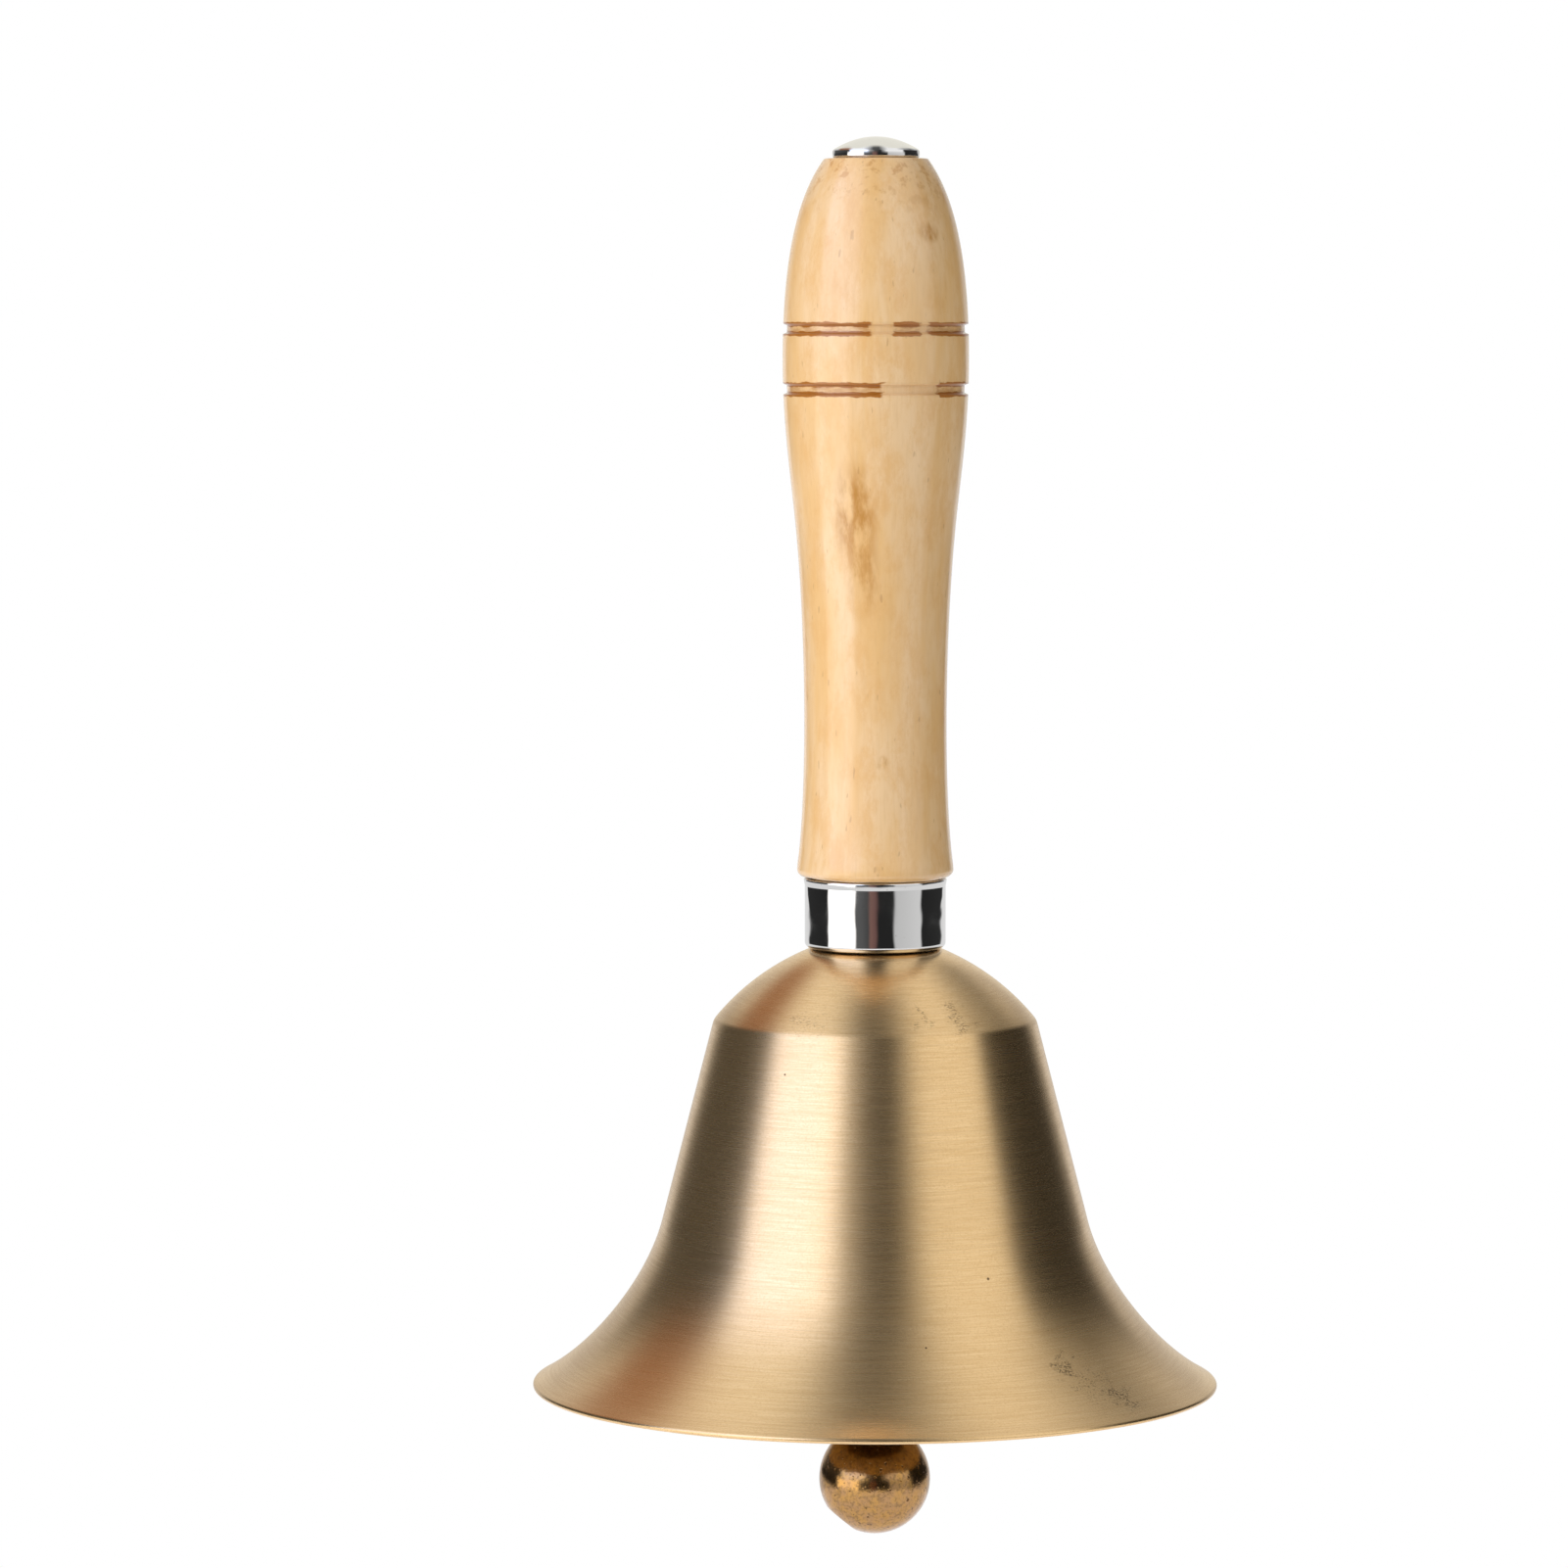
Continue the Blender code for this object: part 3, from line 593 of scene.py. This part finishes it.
def bell_side(wall, lip, shoulder_count, waist_count, flare_count):
    """The shoulder, and the waist with the flare, of the bell's side that lies wall inside its outer face."""
    crease = point(*CREASE)
    centre = crease - SHOULDER_ARC_RADIUS * level(SHOULDER_ARC_END)
    radius = SHOULDER_ARC_RADIUS - wall
    top = math.degrees(math.asin((CROWN_HEIGHT - wall - centre.z) / radius))
    shoulder = arc(centre, radius, top, SHOULDER_ARC_END, shoulder_count)
    waist_length = (CREASE[1] - FLARE_TOP_HEIGHT) / math.cos(math.radians(WAIST_TAPER))
    flare_top = crease + waist_length * down(WAIST_TAPER) - wall * level(WAIST_TAPER)
    knots = (
        flare_top,
        flare_top + FLARE_REACH[0] * down(WAIST_TAPER),
        lip - FLARE_REACH[1] * down(LIP_DIRECTION),
        lip,
    )
    waist = [shoulder[-1].lerp(flare_top, share) for share in np.linspace(0.0, 1.0, waist_count)[1:-1]]
    return shoulder, waist + list(interpolate_bezier(*knots, flare_count))


def outer_side():
    """The bell's outer face from crown to lip, with the crease worn soft, and the lip's rounded edge."""
    edge = point(MOUTH_RADIUS - LIP_ROUNDING, LIP_ROUNDING)
    lip = arc(edge, LIP_ROUNDING, LIP_DIRECTION, 0.0, 6) + arc(edge, LIP_ROUNDING, 0.0, -90.0, 8)[1:]
    shoulder, side = bell_side(0.0, lip[0], 28, 16, 56)
    crease = shoulder[-1]
    before = crease + (shoulder[-2] - crease).normalized() * CREASE_WEAR
    after = crease + (side[0] - crease).normalized() * CREASE_WEAR
    worn = interpolate_bezier(before, before.lerp(crease, 0.75), after.lerp(crease, 0.75), after, 7)
    return shoulder[:-1] + list(worn) + side + lip[1:]


BELL_OUTLINE = outer_side()[::-1]


def bell():
    """The bell, bright outside and darker inside with painted shade, with a plain hole for the bolt."""
    mouth_edge = point(MOUTH_RADIUS - LIP_WALL, 0.0)
    inner_shoulder, inner_side = bell_side(BELL_WALL, mouth_edge, 14, 10, 36)
    inside = inner_side[::-1] + inner_shoulder[::-1]
    crown = [point(inside[-1].x, CROWN_INSIDE_HEIGHT), point(BOLT_HOLE_RADIUS, CROWN_INSIDE_HEIGHT)]
    outline = [point(BOLT_HOLE_RADIUS, CROWN_HEIGHT)] + BELL_OUTLINE[::-1] + inside + crown
    piece = skin("bell", turned_rings(outline, FINE), closed=True)
    for face in piece.data.polygons:
        outwards = Vector((face.center.x, face.center.y, 0.0)).normalized()
        ceiling = face.normal.z < -0.5 and face.center.z > MOUTH_Z + LIP_ROUNDING
        # Faces inside the bell and under its crown take the darker brass that carries painted shade
        face.material_index = int(ceiling or face.normal.dot(outwards) < -0.05)
    return finish_piece(piece, (satin_brass(), inner_brass_painted_shade()), GRIP_BODY, "bell_body")


# Grip


def grip_outline():
    """The grip's smooth side from its foot up to its flat top."""
    top = point(HANDLE_TOP_RADIUS, HANDLE_TOP)
    belly, rise, waist, foot = point(*BELLY), point(*GRIP_RISE), point(*WAIST), point(*HANDLE_FOOT)
    closing_in = level(180.0 - HANDLE_TOP_DIRECTION)
    slope = -down(-GRIP_RISE_DIRECTION)
    up = point(0.0, 1.0)
    ends = (
        (top, closing_in, belly, up),
        (belly, up, rise, slope),
        (rise, slope, waist, up),
        (waist, up, foot, -down(HANDLE_FOOT_DIRECTION)),
    )
    outline = []
    for (first, leaving, last, arriving), (start, end) in zip(ends, GRIP_REACHES):
        outline += interpolate_bezier(first, first - start * leaving, last + end * arriving, last, 60)
    return outline[::-1]


GRIP_OUTLINE = grip_outline()


def grip_radius(height):
    return float(np.interp(height, [place.z for place in GRIP_OUTLINE], [place.x for place in GRIP_OUTLINE]))


def scored_groove(low, high):
    heights = (high, high - GROOVE_SLOPE, low + GROOVE_SLOPE, low)
    depths = (0.0, GROOVE_DEPTH, GROOVE_DEPTH, 0.0)
    return [(grip_radius(up) - depth, up, GROOVE_ROUNDING) for up, depth in zip(heights, depths)]


def smooth_stretch(high, low, count):
    return [(grip_radius(up), up, 0.0) for up in np.linspace(high, low, count + 2)[1:-1]]


def handle():
    """The turned grip, bored for the bolt, with its scored lines and the tenon that stands in the ferrule."""
    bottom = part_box("ferrule")[1].z - MOUTH_Z
    foot_height = bottom + HANDLE_FOOT_ROUNDING
    tenon_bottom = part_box("handle")[0].z - MOUTH_Z
    tenon_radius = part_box("ferrule")[1].x - FERRULE_WALL - GAP
    foot_centre = point(HANDLE_FOOT[0] - HANDLE_FOOT_ROUNDING, foot_height)
    corners = [
        (BOLT_HOLE_RADIUS, HANDLE_TOP, 0.0),
        (HANDLE_TOP_RADIUS, HANDLE_TOP, HANDLE_TOP_ROUNDING),
        *smooth_stretch(HANDLE_TOP, GROOVES[1][1], 46),
        *scored_groove(*GROOVES[1]),
        *smooth_stretch(GROOVES[1][0], GROOVES[0][1], 10),
        *scored_groove(*GROOVES[0]),
        *smooth_stretch(GROOVES[0][0], foot_height, 84),
        *[(place.x, place.z, 0.0) for place in arc(foot_centre, HANDLE_FOOT_ROUNDING, 0.0, -90.0, 10)],
        (tenon_radius, bottom, 0.0),
        (tenon_radius, tenon_bottom, 0.0),
        (BOLT_HOLE_RADIUS, tenon_bottom, 0.0),
    ]

    def worn_foot(turn, radius, height):
        """The foot was sanded by hand, so its lower edge wanders a little."""
        low = np.clip((foot_height - height) / HANDLE_FOOT_ROUNDING, 0.0, 1.0) * (radius > tenon_radius)
        wave = 0.5 + 0.22 * np.sin(2 * turn + 0.8) + 0.18 * np.sin(5 * turn + 2.1) + 0.10 * np.sin(11 * turn)
        return radius, height + FOOT_WEAR * low * wave

    rings = turned_rings(rounded(corners), MEDIUM, shape=worn_foot)
    piece = skin("grip", rings, closed=True)
    return finish_piece(piece, (lacquered_wood(),), GRIP_BODY, "handle")


def ferrule(look):
    """A drawn cup that sits on the crown: rounded foot, straight tube and a lightly flared rim."""
    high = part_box("ferrule")[1]
    bottom, top = CROWN_HEIGHT + FERRULE_LIFT, high.z - MOUTH_Z
    tube = high.x - FERRULE_FLARE
    bore = high.x - FERRULE_WALL
    corners = [
        (bore, top, FERRULE_BORE_ROUNDINGS[0]),
        (high.x, top, FERRULE_RIM_ROUNDING),
        (high.x, top - FERRULE_FLARE_DROP[0], 0.0),
        (tube, top - FERRULE_FLARE_DROP[1], FERRULE_FLARE_ROUNDING),
        (tube, bottom, FERRULE_FOOT_ROUNDING),
        (BOLT_HOLE_RADIUS, bottom, 0.0),
        (BOLT_HOLE_RADIUS, bottom + FERRULE_FLOOR, 0.0),
        (bore, bottom + FERRULE_FLOOR, FERRULE_BORE_ROUNDINGS[1]),
    ]
    piece = skin("ferrule_cup", turned_rings(rounded(corners, 9), MEDIUM), closed=True)
    return finish_piece(piece, (look,), GRIP_BODY, "ferrule")


def long_bolt(look):
    """Domed head on the grip, and a threaded end among the nuts inside the bell."""
    low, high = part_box("tie_bolt")
    radius, top, end = high.x, high.z - MOUTH_Z, low.z - MOUTH_Z
    thread_top = CROWN_INSIDE_HEIGHT
    under = HANDLE_TOP
    edge = under + HEAD_RIM
    turns = np.radians(np.linspace(88.0, 0.0, 30))
    inset = HEAD_ROUNDING * 0.6
    spread = radius - inset
    crown = [point(spread * math.cos(turn), edge + (top - edge) * math.sin(turn) ** 2) for turn in turns]
    corners = [
        (spread, edge, 0.0),
        (radius, edge - inset, HEAD_ROUNDING),
        (radius, under, HEAD_ROUNDING),
        (BOLT_RADIUS, under, 0.0),
    ]
    heights = np.arange(thread_top, end + BOLT_END_BEVEL, -THREAD_PITCH / THREAD_STEPS)
    outline = crown[:-1] + rounded(corners, 8) + [point(BOLT_RADIUS, thread_top + THREAD_RUN_OUT)]
    outline += [point(BOLT_RADIUS, height) for height in heights]
    outline.append(point(BOLT_RADIUS - BOLT_END_BEVEL, end))

    def threaded(turn, radius, height):
        phase = (height / THREAD_PITCH - turn / math.tau) % 1.0
        groove = 1.0 - np.abs(phase - 0.5) * 2.0
        depth = THREAD_DEPTH * np.clip(groove * 1.25 - 0.1, 0.0, 1.0)
        fade = np.clip((thread_top - height) / THREAD_PITCH, 0.0, 1.0)
        on_end = np.clip((height - end) / BOLT_END_BEVEL, 0.0, 1.0)
        return radius - depth * fade * on_end, height

    rings = turned_rings(outline, SMALL, shape=threaded)
    piece = skin("long_bolt", rings, caps=((0, 0, high.z), (0, 0, low.z)))
    return finish_piece(piece, (look,), GRIP_BODY, "tie_bolt")


# Washers and nuts: each one reaches its fixed neighbours across the gap that the solids keep


def seated(node, above, below):
    """Heights of a piece's bottom and top, with how far it reaches below and above its box."""
    low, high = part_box(node)
    return low.z - MOUTH_Z - below, high.z - MOUTH_Z + above


def washer(node, look, above, below):
    bottom, top = seated(node, above, below)
    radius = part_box(node)[1].x
    edge = (top - bottom) * WASHER_ROUNDING_SHARE
    corners = [
        (BOLT_RADIUS + BORE_CLEARANCE, top, 0.0),
        (radius, top, edge),
        (radius, bottom, edge),
        (BOLT_RADIUS + BORE_CLEARANCE, bottom, 0.0),
    ]
    piece = skin(node + "_plated", turned_rings(rounded(corners, 5), SMALL), closed=True)
    return finish_piece(piece, (look,), GRIP_BODY, node)


def spring_washer(look, above, below):
    """A split ring, its two cut ends a little apart in height."""
    bottom, top = seated("spring_washer", above, below)
    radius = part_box("spring_washer")[1].x
    inner = BOLT_RADIUS + BORE_CLEARANCE
    cut_half = SPLIT_WIDTH / 2 / radius
    middle, half = (top + bottom) / 2, (top - bottom - SPLIT_LIFT) / 2
    corners = ((inner, half), (radius, half), (radius, -half), (inner, -half))
    section = rounded([(*corner, SPLIT_ROUNDING) for corner in corners], 4)
    rings = []
    for share in np.linspace(0.0, 1.0, 73):
        turn = math.pi / 2 + cut_half + share * (math.tau - 2 * cut_half)
        rise = MOUTH_Z + middle + (share - 0.5) * SPLIT_LIFT
        outwards = Vector((math.cos(turn), math.sin(turn), 0.0))
        rings.append([place.x * outwards + Vector((0.0, 0.0, place.z + rise)) for place in section])
    ends = [np.mean(ring, axis=0) for ring in (rings[0], rings[-1])]
    piece = skin("spring_washer_split", rings, caps=ends)
    return finish_piece(piece, (look,), GRIP_BODY, "spring_washer")


def nut(node, look, above, below):
    """A hexagon nut with chamfered corners and a countersunk bore."""
    bottom, top = seated(node, above, below)
    middle = (top + bottom) / 2
    flat = NUT_ACROSS_FLATS / 2
    corner = flat / math.cos(math.pi / 6)
    face = flat * NUT_FACE_SHARE
    bore = BOLT_RADIUS + NUT_CLEARANCE
    full = (top - bottom) / 2
    outline = [
        point(bore, top - NUT_COUNTERSINK),
        point(bore + NUT_COUNTERSINK, top),
        point(face, top),
        *[point(reach, top) for reach in np.linspace(face, corner, 5)[1:]],
        *[point(corner, height) for height in np.linspace(top, bottom, 6)[1:-1]],
        *[point(reach, bottom) for reach in np.linspace(corner, face, 5)[:-1]],
        point(face, bottom),
        point(bore + NUT_COUNTERSINK, bottom),
        point(bore, bottom + NUT_COUNTERSINK),
    ]

    def hexagon(turn, radius, height):
        within = np.mod(turn, math.pi / 3) - math.pi / 6
        limit = np.minimum(flat / np.cos(within), corner * NUT_CORNER_SHARE)
        radius = np.minimum(radius, limit)
        fall = np.clip(radius - face, 0.0, None) * math.tan(math.radians(NUT_CHAMFER))
        room = np.minimum(np.abs(height - middle), full - fall)
        return radius, middle + np.sign(height - middle) * room

    piece = skin(node + "_plated", turned_rings(outline, SMALL, shape=hexagon), closed=True)
    return finish_piece(piece, (look,), GRIP_BODY, node)


# Hanger and clapper


def hanger(look):
    """A strip bent to a U with round-ended arms, drilled for the bolt and the pin."""
    low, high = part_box("hanger")
    half_width = high.x
    outer = high.y
    thick = STRIP_THICKNESS / 2
    web = high.z - thick
    arm = outer - thick
    bend = STRIP_BEND + thick
    end = low.z
    rises = half_width * (1 - np.cos(np.radians(np.linspace(2, 90, 12))))
    route = [Vector((0.0, arm, end + rise)) for rise in rises]
    centre = Vector((0.0, arm - bend, web - bend))
    for turn in np.radians(np.linspace(0, 90, 9)):
        route.append(centre + bend * Vector((0.0, math.cos(turn), math.sin(turn))))
    route += [Vector((0.0, -place.y, place.z)) for place in route[::-1]]
    rings = []
    for index, place in enumerate(route):
        across = heading(route, index).cross(Vector((1.0, 0.0, 0.0)))
        rise = min(place.z - end, half_width)
        width = math.sqrt(half_width**2 - (half_width - rise) ** 2)
        corners = ((width, thick), (width, -thick), (-width, -thick), (-width, thick))
        section = rounded([(*corner, STRIP_ROUNDING) for corner in corners], 4)
        rings.append([place + Vector((corner.x, 0.0, 0.0)) + across * corner.z for corner in section])
    caps = (np.mean(rings[0], axis=0), np.mean(rings[-1], axis=0))
    piece = skin("hanger_strip", rings, caps=caps)
    cut(piece, rod("bolt_hole", BOLT_HOLE_RADIUS, web - STRIP_THICKNESS, web + STRIP_THICKNESS))
    cut(piece, rod("pin_hole", PIN_RADIUS + PIN_CLEARANCE, -2 * outer, 2 * outer, ALONG_PIN))
    return finish_piece(piece, (look,), HANGER_BODY, "hanger")


def hanger_pin(look):
    """A cross pin with a low riveted dome at each end."""
    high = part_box("hanger_pin")[1]
    head = high.x
    shoulder = high.y - PIN_HEAD_RISE
    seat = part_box("hanger")[1].y
    dome = (head**2 + PIN_HEAD_RISE**2) / (2 * PIN_HEAD_RISE)
    rim_angle = math.degrees(math.acos(head / dome))
    half = arc(point(0.0, high.y - dome), dome, 86.0, rim_angle + 1.0, 12)
    half += [
        point(head, shoulder - PIN_HEAD_EDGE),
        point(head - PIN_HEAD_TAPER, seat),
        point(PIN_RADIUS, seat),
    ]
    outline = half + [point(place.x, -place.z) for place in half[::-1]]
    rings = turned_rings(outline, SMALL // 2, 0.0)
    piece = skin("rivet_pin", rings, caps=((0, 0, high.y), (0, 0, -high.y)), matrix=ALONG_PIN)
    return finish_piece(piece, (look,), HANGER_BODY, "hanger_pin")


def stem_route():
    """The wire's centre line in the XZ plane: an open eye round the pin, a bend to the axis, and down."""
    eye = PIN_RADIUS + GAP + WIRE_RADIUS
    turns = math.radians(EYE_END)
    leaving = point(-math.sin(turns), math.cos(turns))
    eye_exit = eye * level(EYE_END)
    corner = eye_exit - leaving * (eye_exit.x / leaving.x)
    bend_angle = leaving.angle(point(0.0, -1.0))
    bend_end = corner - point(0.0, STEM_BEND_RADIUS * math.tan(bend_angle / 2))
    bend_centre = bend_end - point(STEM_BEND_RADIUS, 0.0)
    stem_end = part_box("clapper_stem")[0].z - MOUTH_Z - PIN_HEIGHT
    return [
        *arc(point(0.0, 0.0), eye, EYE_START, EYE_END, 40),
        *arc(bend_centre, STEM_BEND_RADIUS, math.degrees(bend_angle), 0.0, 9),
        *[point(0.0, height) for height in np.linspace(bend_end.z, stem_end, 24)[1:]],
    ]


def clapper_stem(look):
    """Round wire along its route, with the edge of the eye's free end eased."""
    route = stem_route()
    sideways = Vector((0.0, 1.0, 0.0))
    rings = []
    for index, place in enumerate(route):
        along = heading(route, index)
        across = along.cross(sideways)
        spokes = [math.cos(turn) * across + math.sin(turn) * sideways for turn in around(WIRE_SIDES)]
        ring = [place + WIRE_RADIUS * spoke for spoke in spokes]
        if index == 0:
            rings.append([place.lerp(spot, 1.0 - WIRE_END_EASE) for spot in ring])
            ring = [spot + along * WIRE_RADIUS * WIRE_END_EASE for spot in ring]
        rings.append(ring)
    piece = skin("clapper_wire", rings, caps=(route[0], route[-1]), matrix=AT_PIN)
    return finish_piece(piece, (look,), CLAPPER_BODY, "clapper_stem")


# Direction and distance from the centre, in radii, of the places where the ball is worn flat
BALL_FLATS = (
    ((-0.63, -0.10, -0.777), 0.945),
    ((0.0, 0.0, -1.0), 0.992),
    ((0.20, 0.95, -0.30), 0.960),
    ((-0.85, 0.50, 0.10), 0.975),
)


def clapper_ball():
    """A cast ball, bored for the wire, with one side filed flat and the wear of years of ringing."""
    low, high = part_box("clapper_ball")
    radius = high.x
    centre = low.z + radius
    hole = WIRE_RADIUS + BALL_HOLE_CLEARANCE
    mouth_angle = math.degrees(math.acos(hole / radius))
    outline = [point(hole, radius - BALL_HOLE_DEPTH), point(hole, radius * 0.98)]
    outline += arc(point(0.0, 0.0), radius, mouth_angle - 1.0, -88.5, 96)
    floor = Vector((0.0, 0.0, radius - BALL_HOLE_DEPTH))
    piece = skin("clapper_bob", turned_rings(outline, 160, 0.0), caps=(floor, Vector((0.0, 0.0, -radius))))
    for direction, reach in BALL_FLATS:
        facing = Vector(direction).normalized()
        for vertex in piece.data.vertices:
            over = vertex.co.dot(facing) - reach * radius
            if over > 0.0:
                vertex.co -= facing * over
    piece.data.transform(Matrix.Translation((0.0, 0.0, centre)))
    clean(piece.data)
    return finish_piece(piece, (aged_brass(),), CLAPPER_BODY, "clapper_ball")


# Studio


# The left softbox, its inner edge, and the same box as upright faces and faces that lie far back mirror it
LEFT_BOX = (1.60, 1.80, 2.60)
LEFT_BOX_EDGE = (1.75, 1.90, 2.40)
LEFT_BOX_LEVEL = (2.0, 1.95, 1.9)
LEFT_BOX_ABOVE = (1.05, 1.08, 1.14)
WARM = (0.36, 0.19, 0.12)  # what a hand on the grip sends back
FAINTLY_WARM = (0.22, 0.12, 0.10)
DIMLY_WARM = (0.17, 0.09, 0.08)
BACKDROP = (0.90, 0.88, 0.79)
TABLE = (0.80, 0.80, 0.80)


def band(nodes, share, stops):
    """Colour by a share of the way from -180 to 180 degrees."""
    ramp = nodes.node("ValToRGB", {0: share})
    elements = ramp.color_ramp.elements
    elements.remove(elements[-1])
    for index, (degrees, value) in enumerate(stops):
        place = (degrees + 180.0) / 360.0
        element = elements[0] if index == 0 else elements.new(place)
        element.position = place
        colour = value if isinstance(value, tuple) else (value, value, value)
        element.color = (*colour, 1.0)
    return ramp.outputs[0]


# Brightness by twice the angle that a mirroring face is turned from the camera, positive to the right, for
# faces that stand upright, that lean back and that lie far back
LEVEL_BAND = (
    *((-180, 0.6), (-165, 0.8), (-152, 0.9), (-146, 0.03), (-84, 0.02)),
    *((-81, LEFT_BOX_LEVEL), (-35, LEFT_BOX_LEVEL)),
    *((-31, 0.12), (-20, 0.10), (-12, 0.07), (-8, FAINTLY_WARM), (0, DIMLY_WARM), (5, 0.02), (30, 0.02)),
    *((34, 0.60), (79, 0.72)),
    *((83, 0.02), (146, 0.03), (152, 0.9), (165, 0.8), (180, 0.6)),
)
MIDDLE_BAND = (
    *((-180, 0.48), (-165, 0.56), (-149, 0.66), (-137, 0.10), (-78, 0.05)),
    *((-70, LEFT_BOX), (-40, LEFT_BOX), (-25, LEFT_BOX_EDGE)),
    *((-17, 0.46), (-4, 0.09), (12, 0.03), (22, 0.52)),
    *((29, 1.04), (74, 1.06)),
    *((79, 0.02), (135, 0.04), (149, 0.66), (165, 0.56), (180, 0.48)),
)
HIGH_BAND = (
    *((-180, 0.48), (-150, 0.60), (-128, 0.72), (-110, WARM), (-84, WARM)),
    *((-66, LEFT_BOX_ABOVE), (-34, LEFT_BOX_ABOVE)),
    *((-9, 0.10), (8, 0.09)),
    *((34, 1.00), (57, 1.02)),
    *((80, 0.46), (106, 0.24), (128, 0.62), (180, 0.48)),
)


def studio_world():
    """White behind the object for the camera, and for its reflections two softboxes between black flags.

    Each direction is placed by the face that would mirror it to the front: how far that face is turned round
    and how far it leans back, both doubled."""
    made = bpy.data.worlds.new("studio")
    made.use_nodes = True
    nodes = Nodes(made.node_tree)
    x, y, z = nodes.split(nodes.node("TexCoord").outputs["Generated"])
    ahead = nodes.math("SUBTRACT", 1.0, y)
    share = nodes.math("MULTIPLY_ADD", nodes.math("ARCTAN2", x, ahead), 1.0 / math.pi, 0.5)
    lean = nodes.math("DEGREES", nodes.math("ARCTAN2", z, nodes.length(x, ahead)))
    up = nodes.math("MULTIPLY", lean, 2.0)
    level_colour, middle_colour, high_colour = [
        band(nodes, share, stops) for stops in (LEVEL_BAND, MIDDLE_BAND, HIGH_BAND)
    ]
    colour = nodes.mix(nodes.ramp(up, -2.0, 8.0), level_colour, middle_colour)
    colour = nodes.mix(nodes.ramp(up, 42.0, 76.0), colour, high_colour)
    narrow = nodes.ramp(nodes.math("ABSOLUTE", x), 0.32, 0.20)
    behind = nodes.math("MULTIPLY", nodes.ramp(y, 0.50, 0.62), narrow)
    colour = nodes.mix(behind, colour, rgb(*BACKDROP))
    colour = nodes.mix(nodes.ramp(up, -17.0, -20.0), colour, rgb(*TABLE))
    seen = nodes.node("LightPath").outputs["Is Camera Ray"]
    colour = nodes.mix(seen, colour, rgb(1.0, 1.0, 1.0))
    nodes.feed(made.node_tree.nodes["Background"].inputs["Color"], colour)
    bpy.context.scene.world = made


FLOOR_DROP = 0.100  # below the mouth plane
FLOOR_RADIUS = 0.30
FLOOR_GLOW = 0.35
LAMP_SIZE = 0.6


def floor():
    """A pale round floor that can be seen through from below."""
    z = MOUTH_Z - FLOOR_DROP
    outline = [point(radius, 0.0) for radius in np.linspace(FLOOR_RADIUS, 0.02, 12)]
    disc = skin("floor", turned_rings(outline, SMALL, z), caps=(None, (0, 0, z)))
    if disc.data.polygons[0].normal.z < 0:
        disc.data.flip_normals()
    look = Look("pale_floor", Base_Color=rgb(0.9, 0.9, 0.9), Roughness=0.9, Emission_Color=rgb(1.0, 1.0, 1.0))
    look.shader.inputs["Emission Strength"].default_value = FLOOR_GLOW
    clear = look.node("BsdfTransparent").outputs[0]
    behind = look.node("NewGeometry").outputs["Backfacing"]
    surface = look.node("MixShader", {0: behind, 1: look.shader.outputs[0], 2: clear}).outputs[0]
    look.feed(look.tree.nodes["Material Output"].inputs["Surface"], surface)
    disc.data.materials.append(look.material)


def area_light(name, place, energy):
    """A soft lamp turned to the object, which lights it but doesn't show in its gloss."""
    data = bpy.data.lights.new(name, "AREA")
    data.size = LAMP_SIZE
    data.energy = energy
    lamp = bpy.data.objects.new(name, data)
    lamp.location = place
    lamp.rotation_euler = (-Vector(place)).to_track_quat("-Z", "Y").to_euler()
    lamp.visible_glossy = False
    lamp.visible_camera = False
    bpy.context.scene.collection.objects.link(lamp)


# The camera stands straight in front of the bell's axis and looks a little down and to its left
CAMERA_DISTANCE = 0.751
CAMERA_HEIGHT = 0.127
CAMERA_DROP = 4.296  # degrees below level
CAMERA_TURN = 0.811  # degrees to the left
CAMERA_LENS = 148.57  # millimetres
CAMERA_SENSOR = 36.0  # millimetres


def camera():
    data = bpy.data.cameras.new("camera")
    data.lens = CAMERA_LENS
    data.sensor_width = CAMERA_SENSOR
    data.clip_start = 0.01
    made = bpy.data.objects.new("camera", data)
    made.location = (0.0, -CAMERA_DISTANCE, MOUTH_Z + CAMERA_HEIGHT)
    made.rotation_euler = (math.radians(90.0 - CAMERA_DROP), 0.0, math.radians(CAMERA_TURN))
    bpy.context.scene.collection.objects.link(made)
    bpy.context.scene.camera = made


def build():
    """Every piece, with how far each washer and nut reaches above and below to its fixed neighbour."""
    bright, plated, wire = chrome(), zinc(), steel_wire()
    bell()
    ferrule(bright)
    handle()
    long_bolt(bright)
    washer("crown_washer", plated, GAP, GAP / 2)
    spring_washer(plated, GAP / 2, GAP / 2)
    nut("clamp_nut", plated, GAP / 2, 0.0)
    washer("swivel_washer", plated, 0.0, GAP / 2)
    nut("retaining_nut", plated, GAP / 2, GAP / 2)
    nut("jam_nut", plated, GAP / 2, 0.0)
    hanger(plated)
    hanger_pin(wire)
    clapper_stem(wire)
    clapper_ball()
    studio_world()
    floor()
    area_light("key", (-0.80, -0.60, 0.25), 5.1)
    area_light("fill", (0.80, -0.70, 0.25), 0.4)
    camera()
    bpy.context.scene.view_settings.view_transform = "Standard"


build()
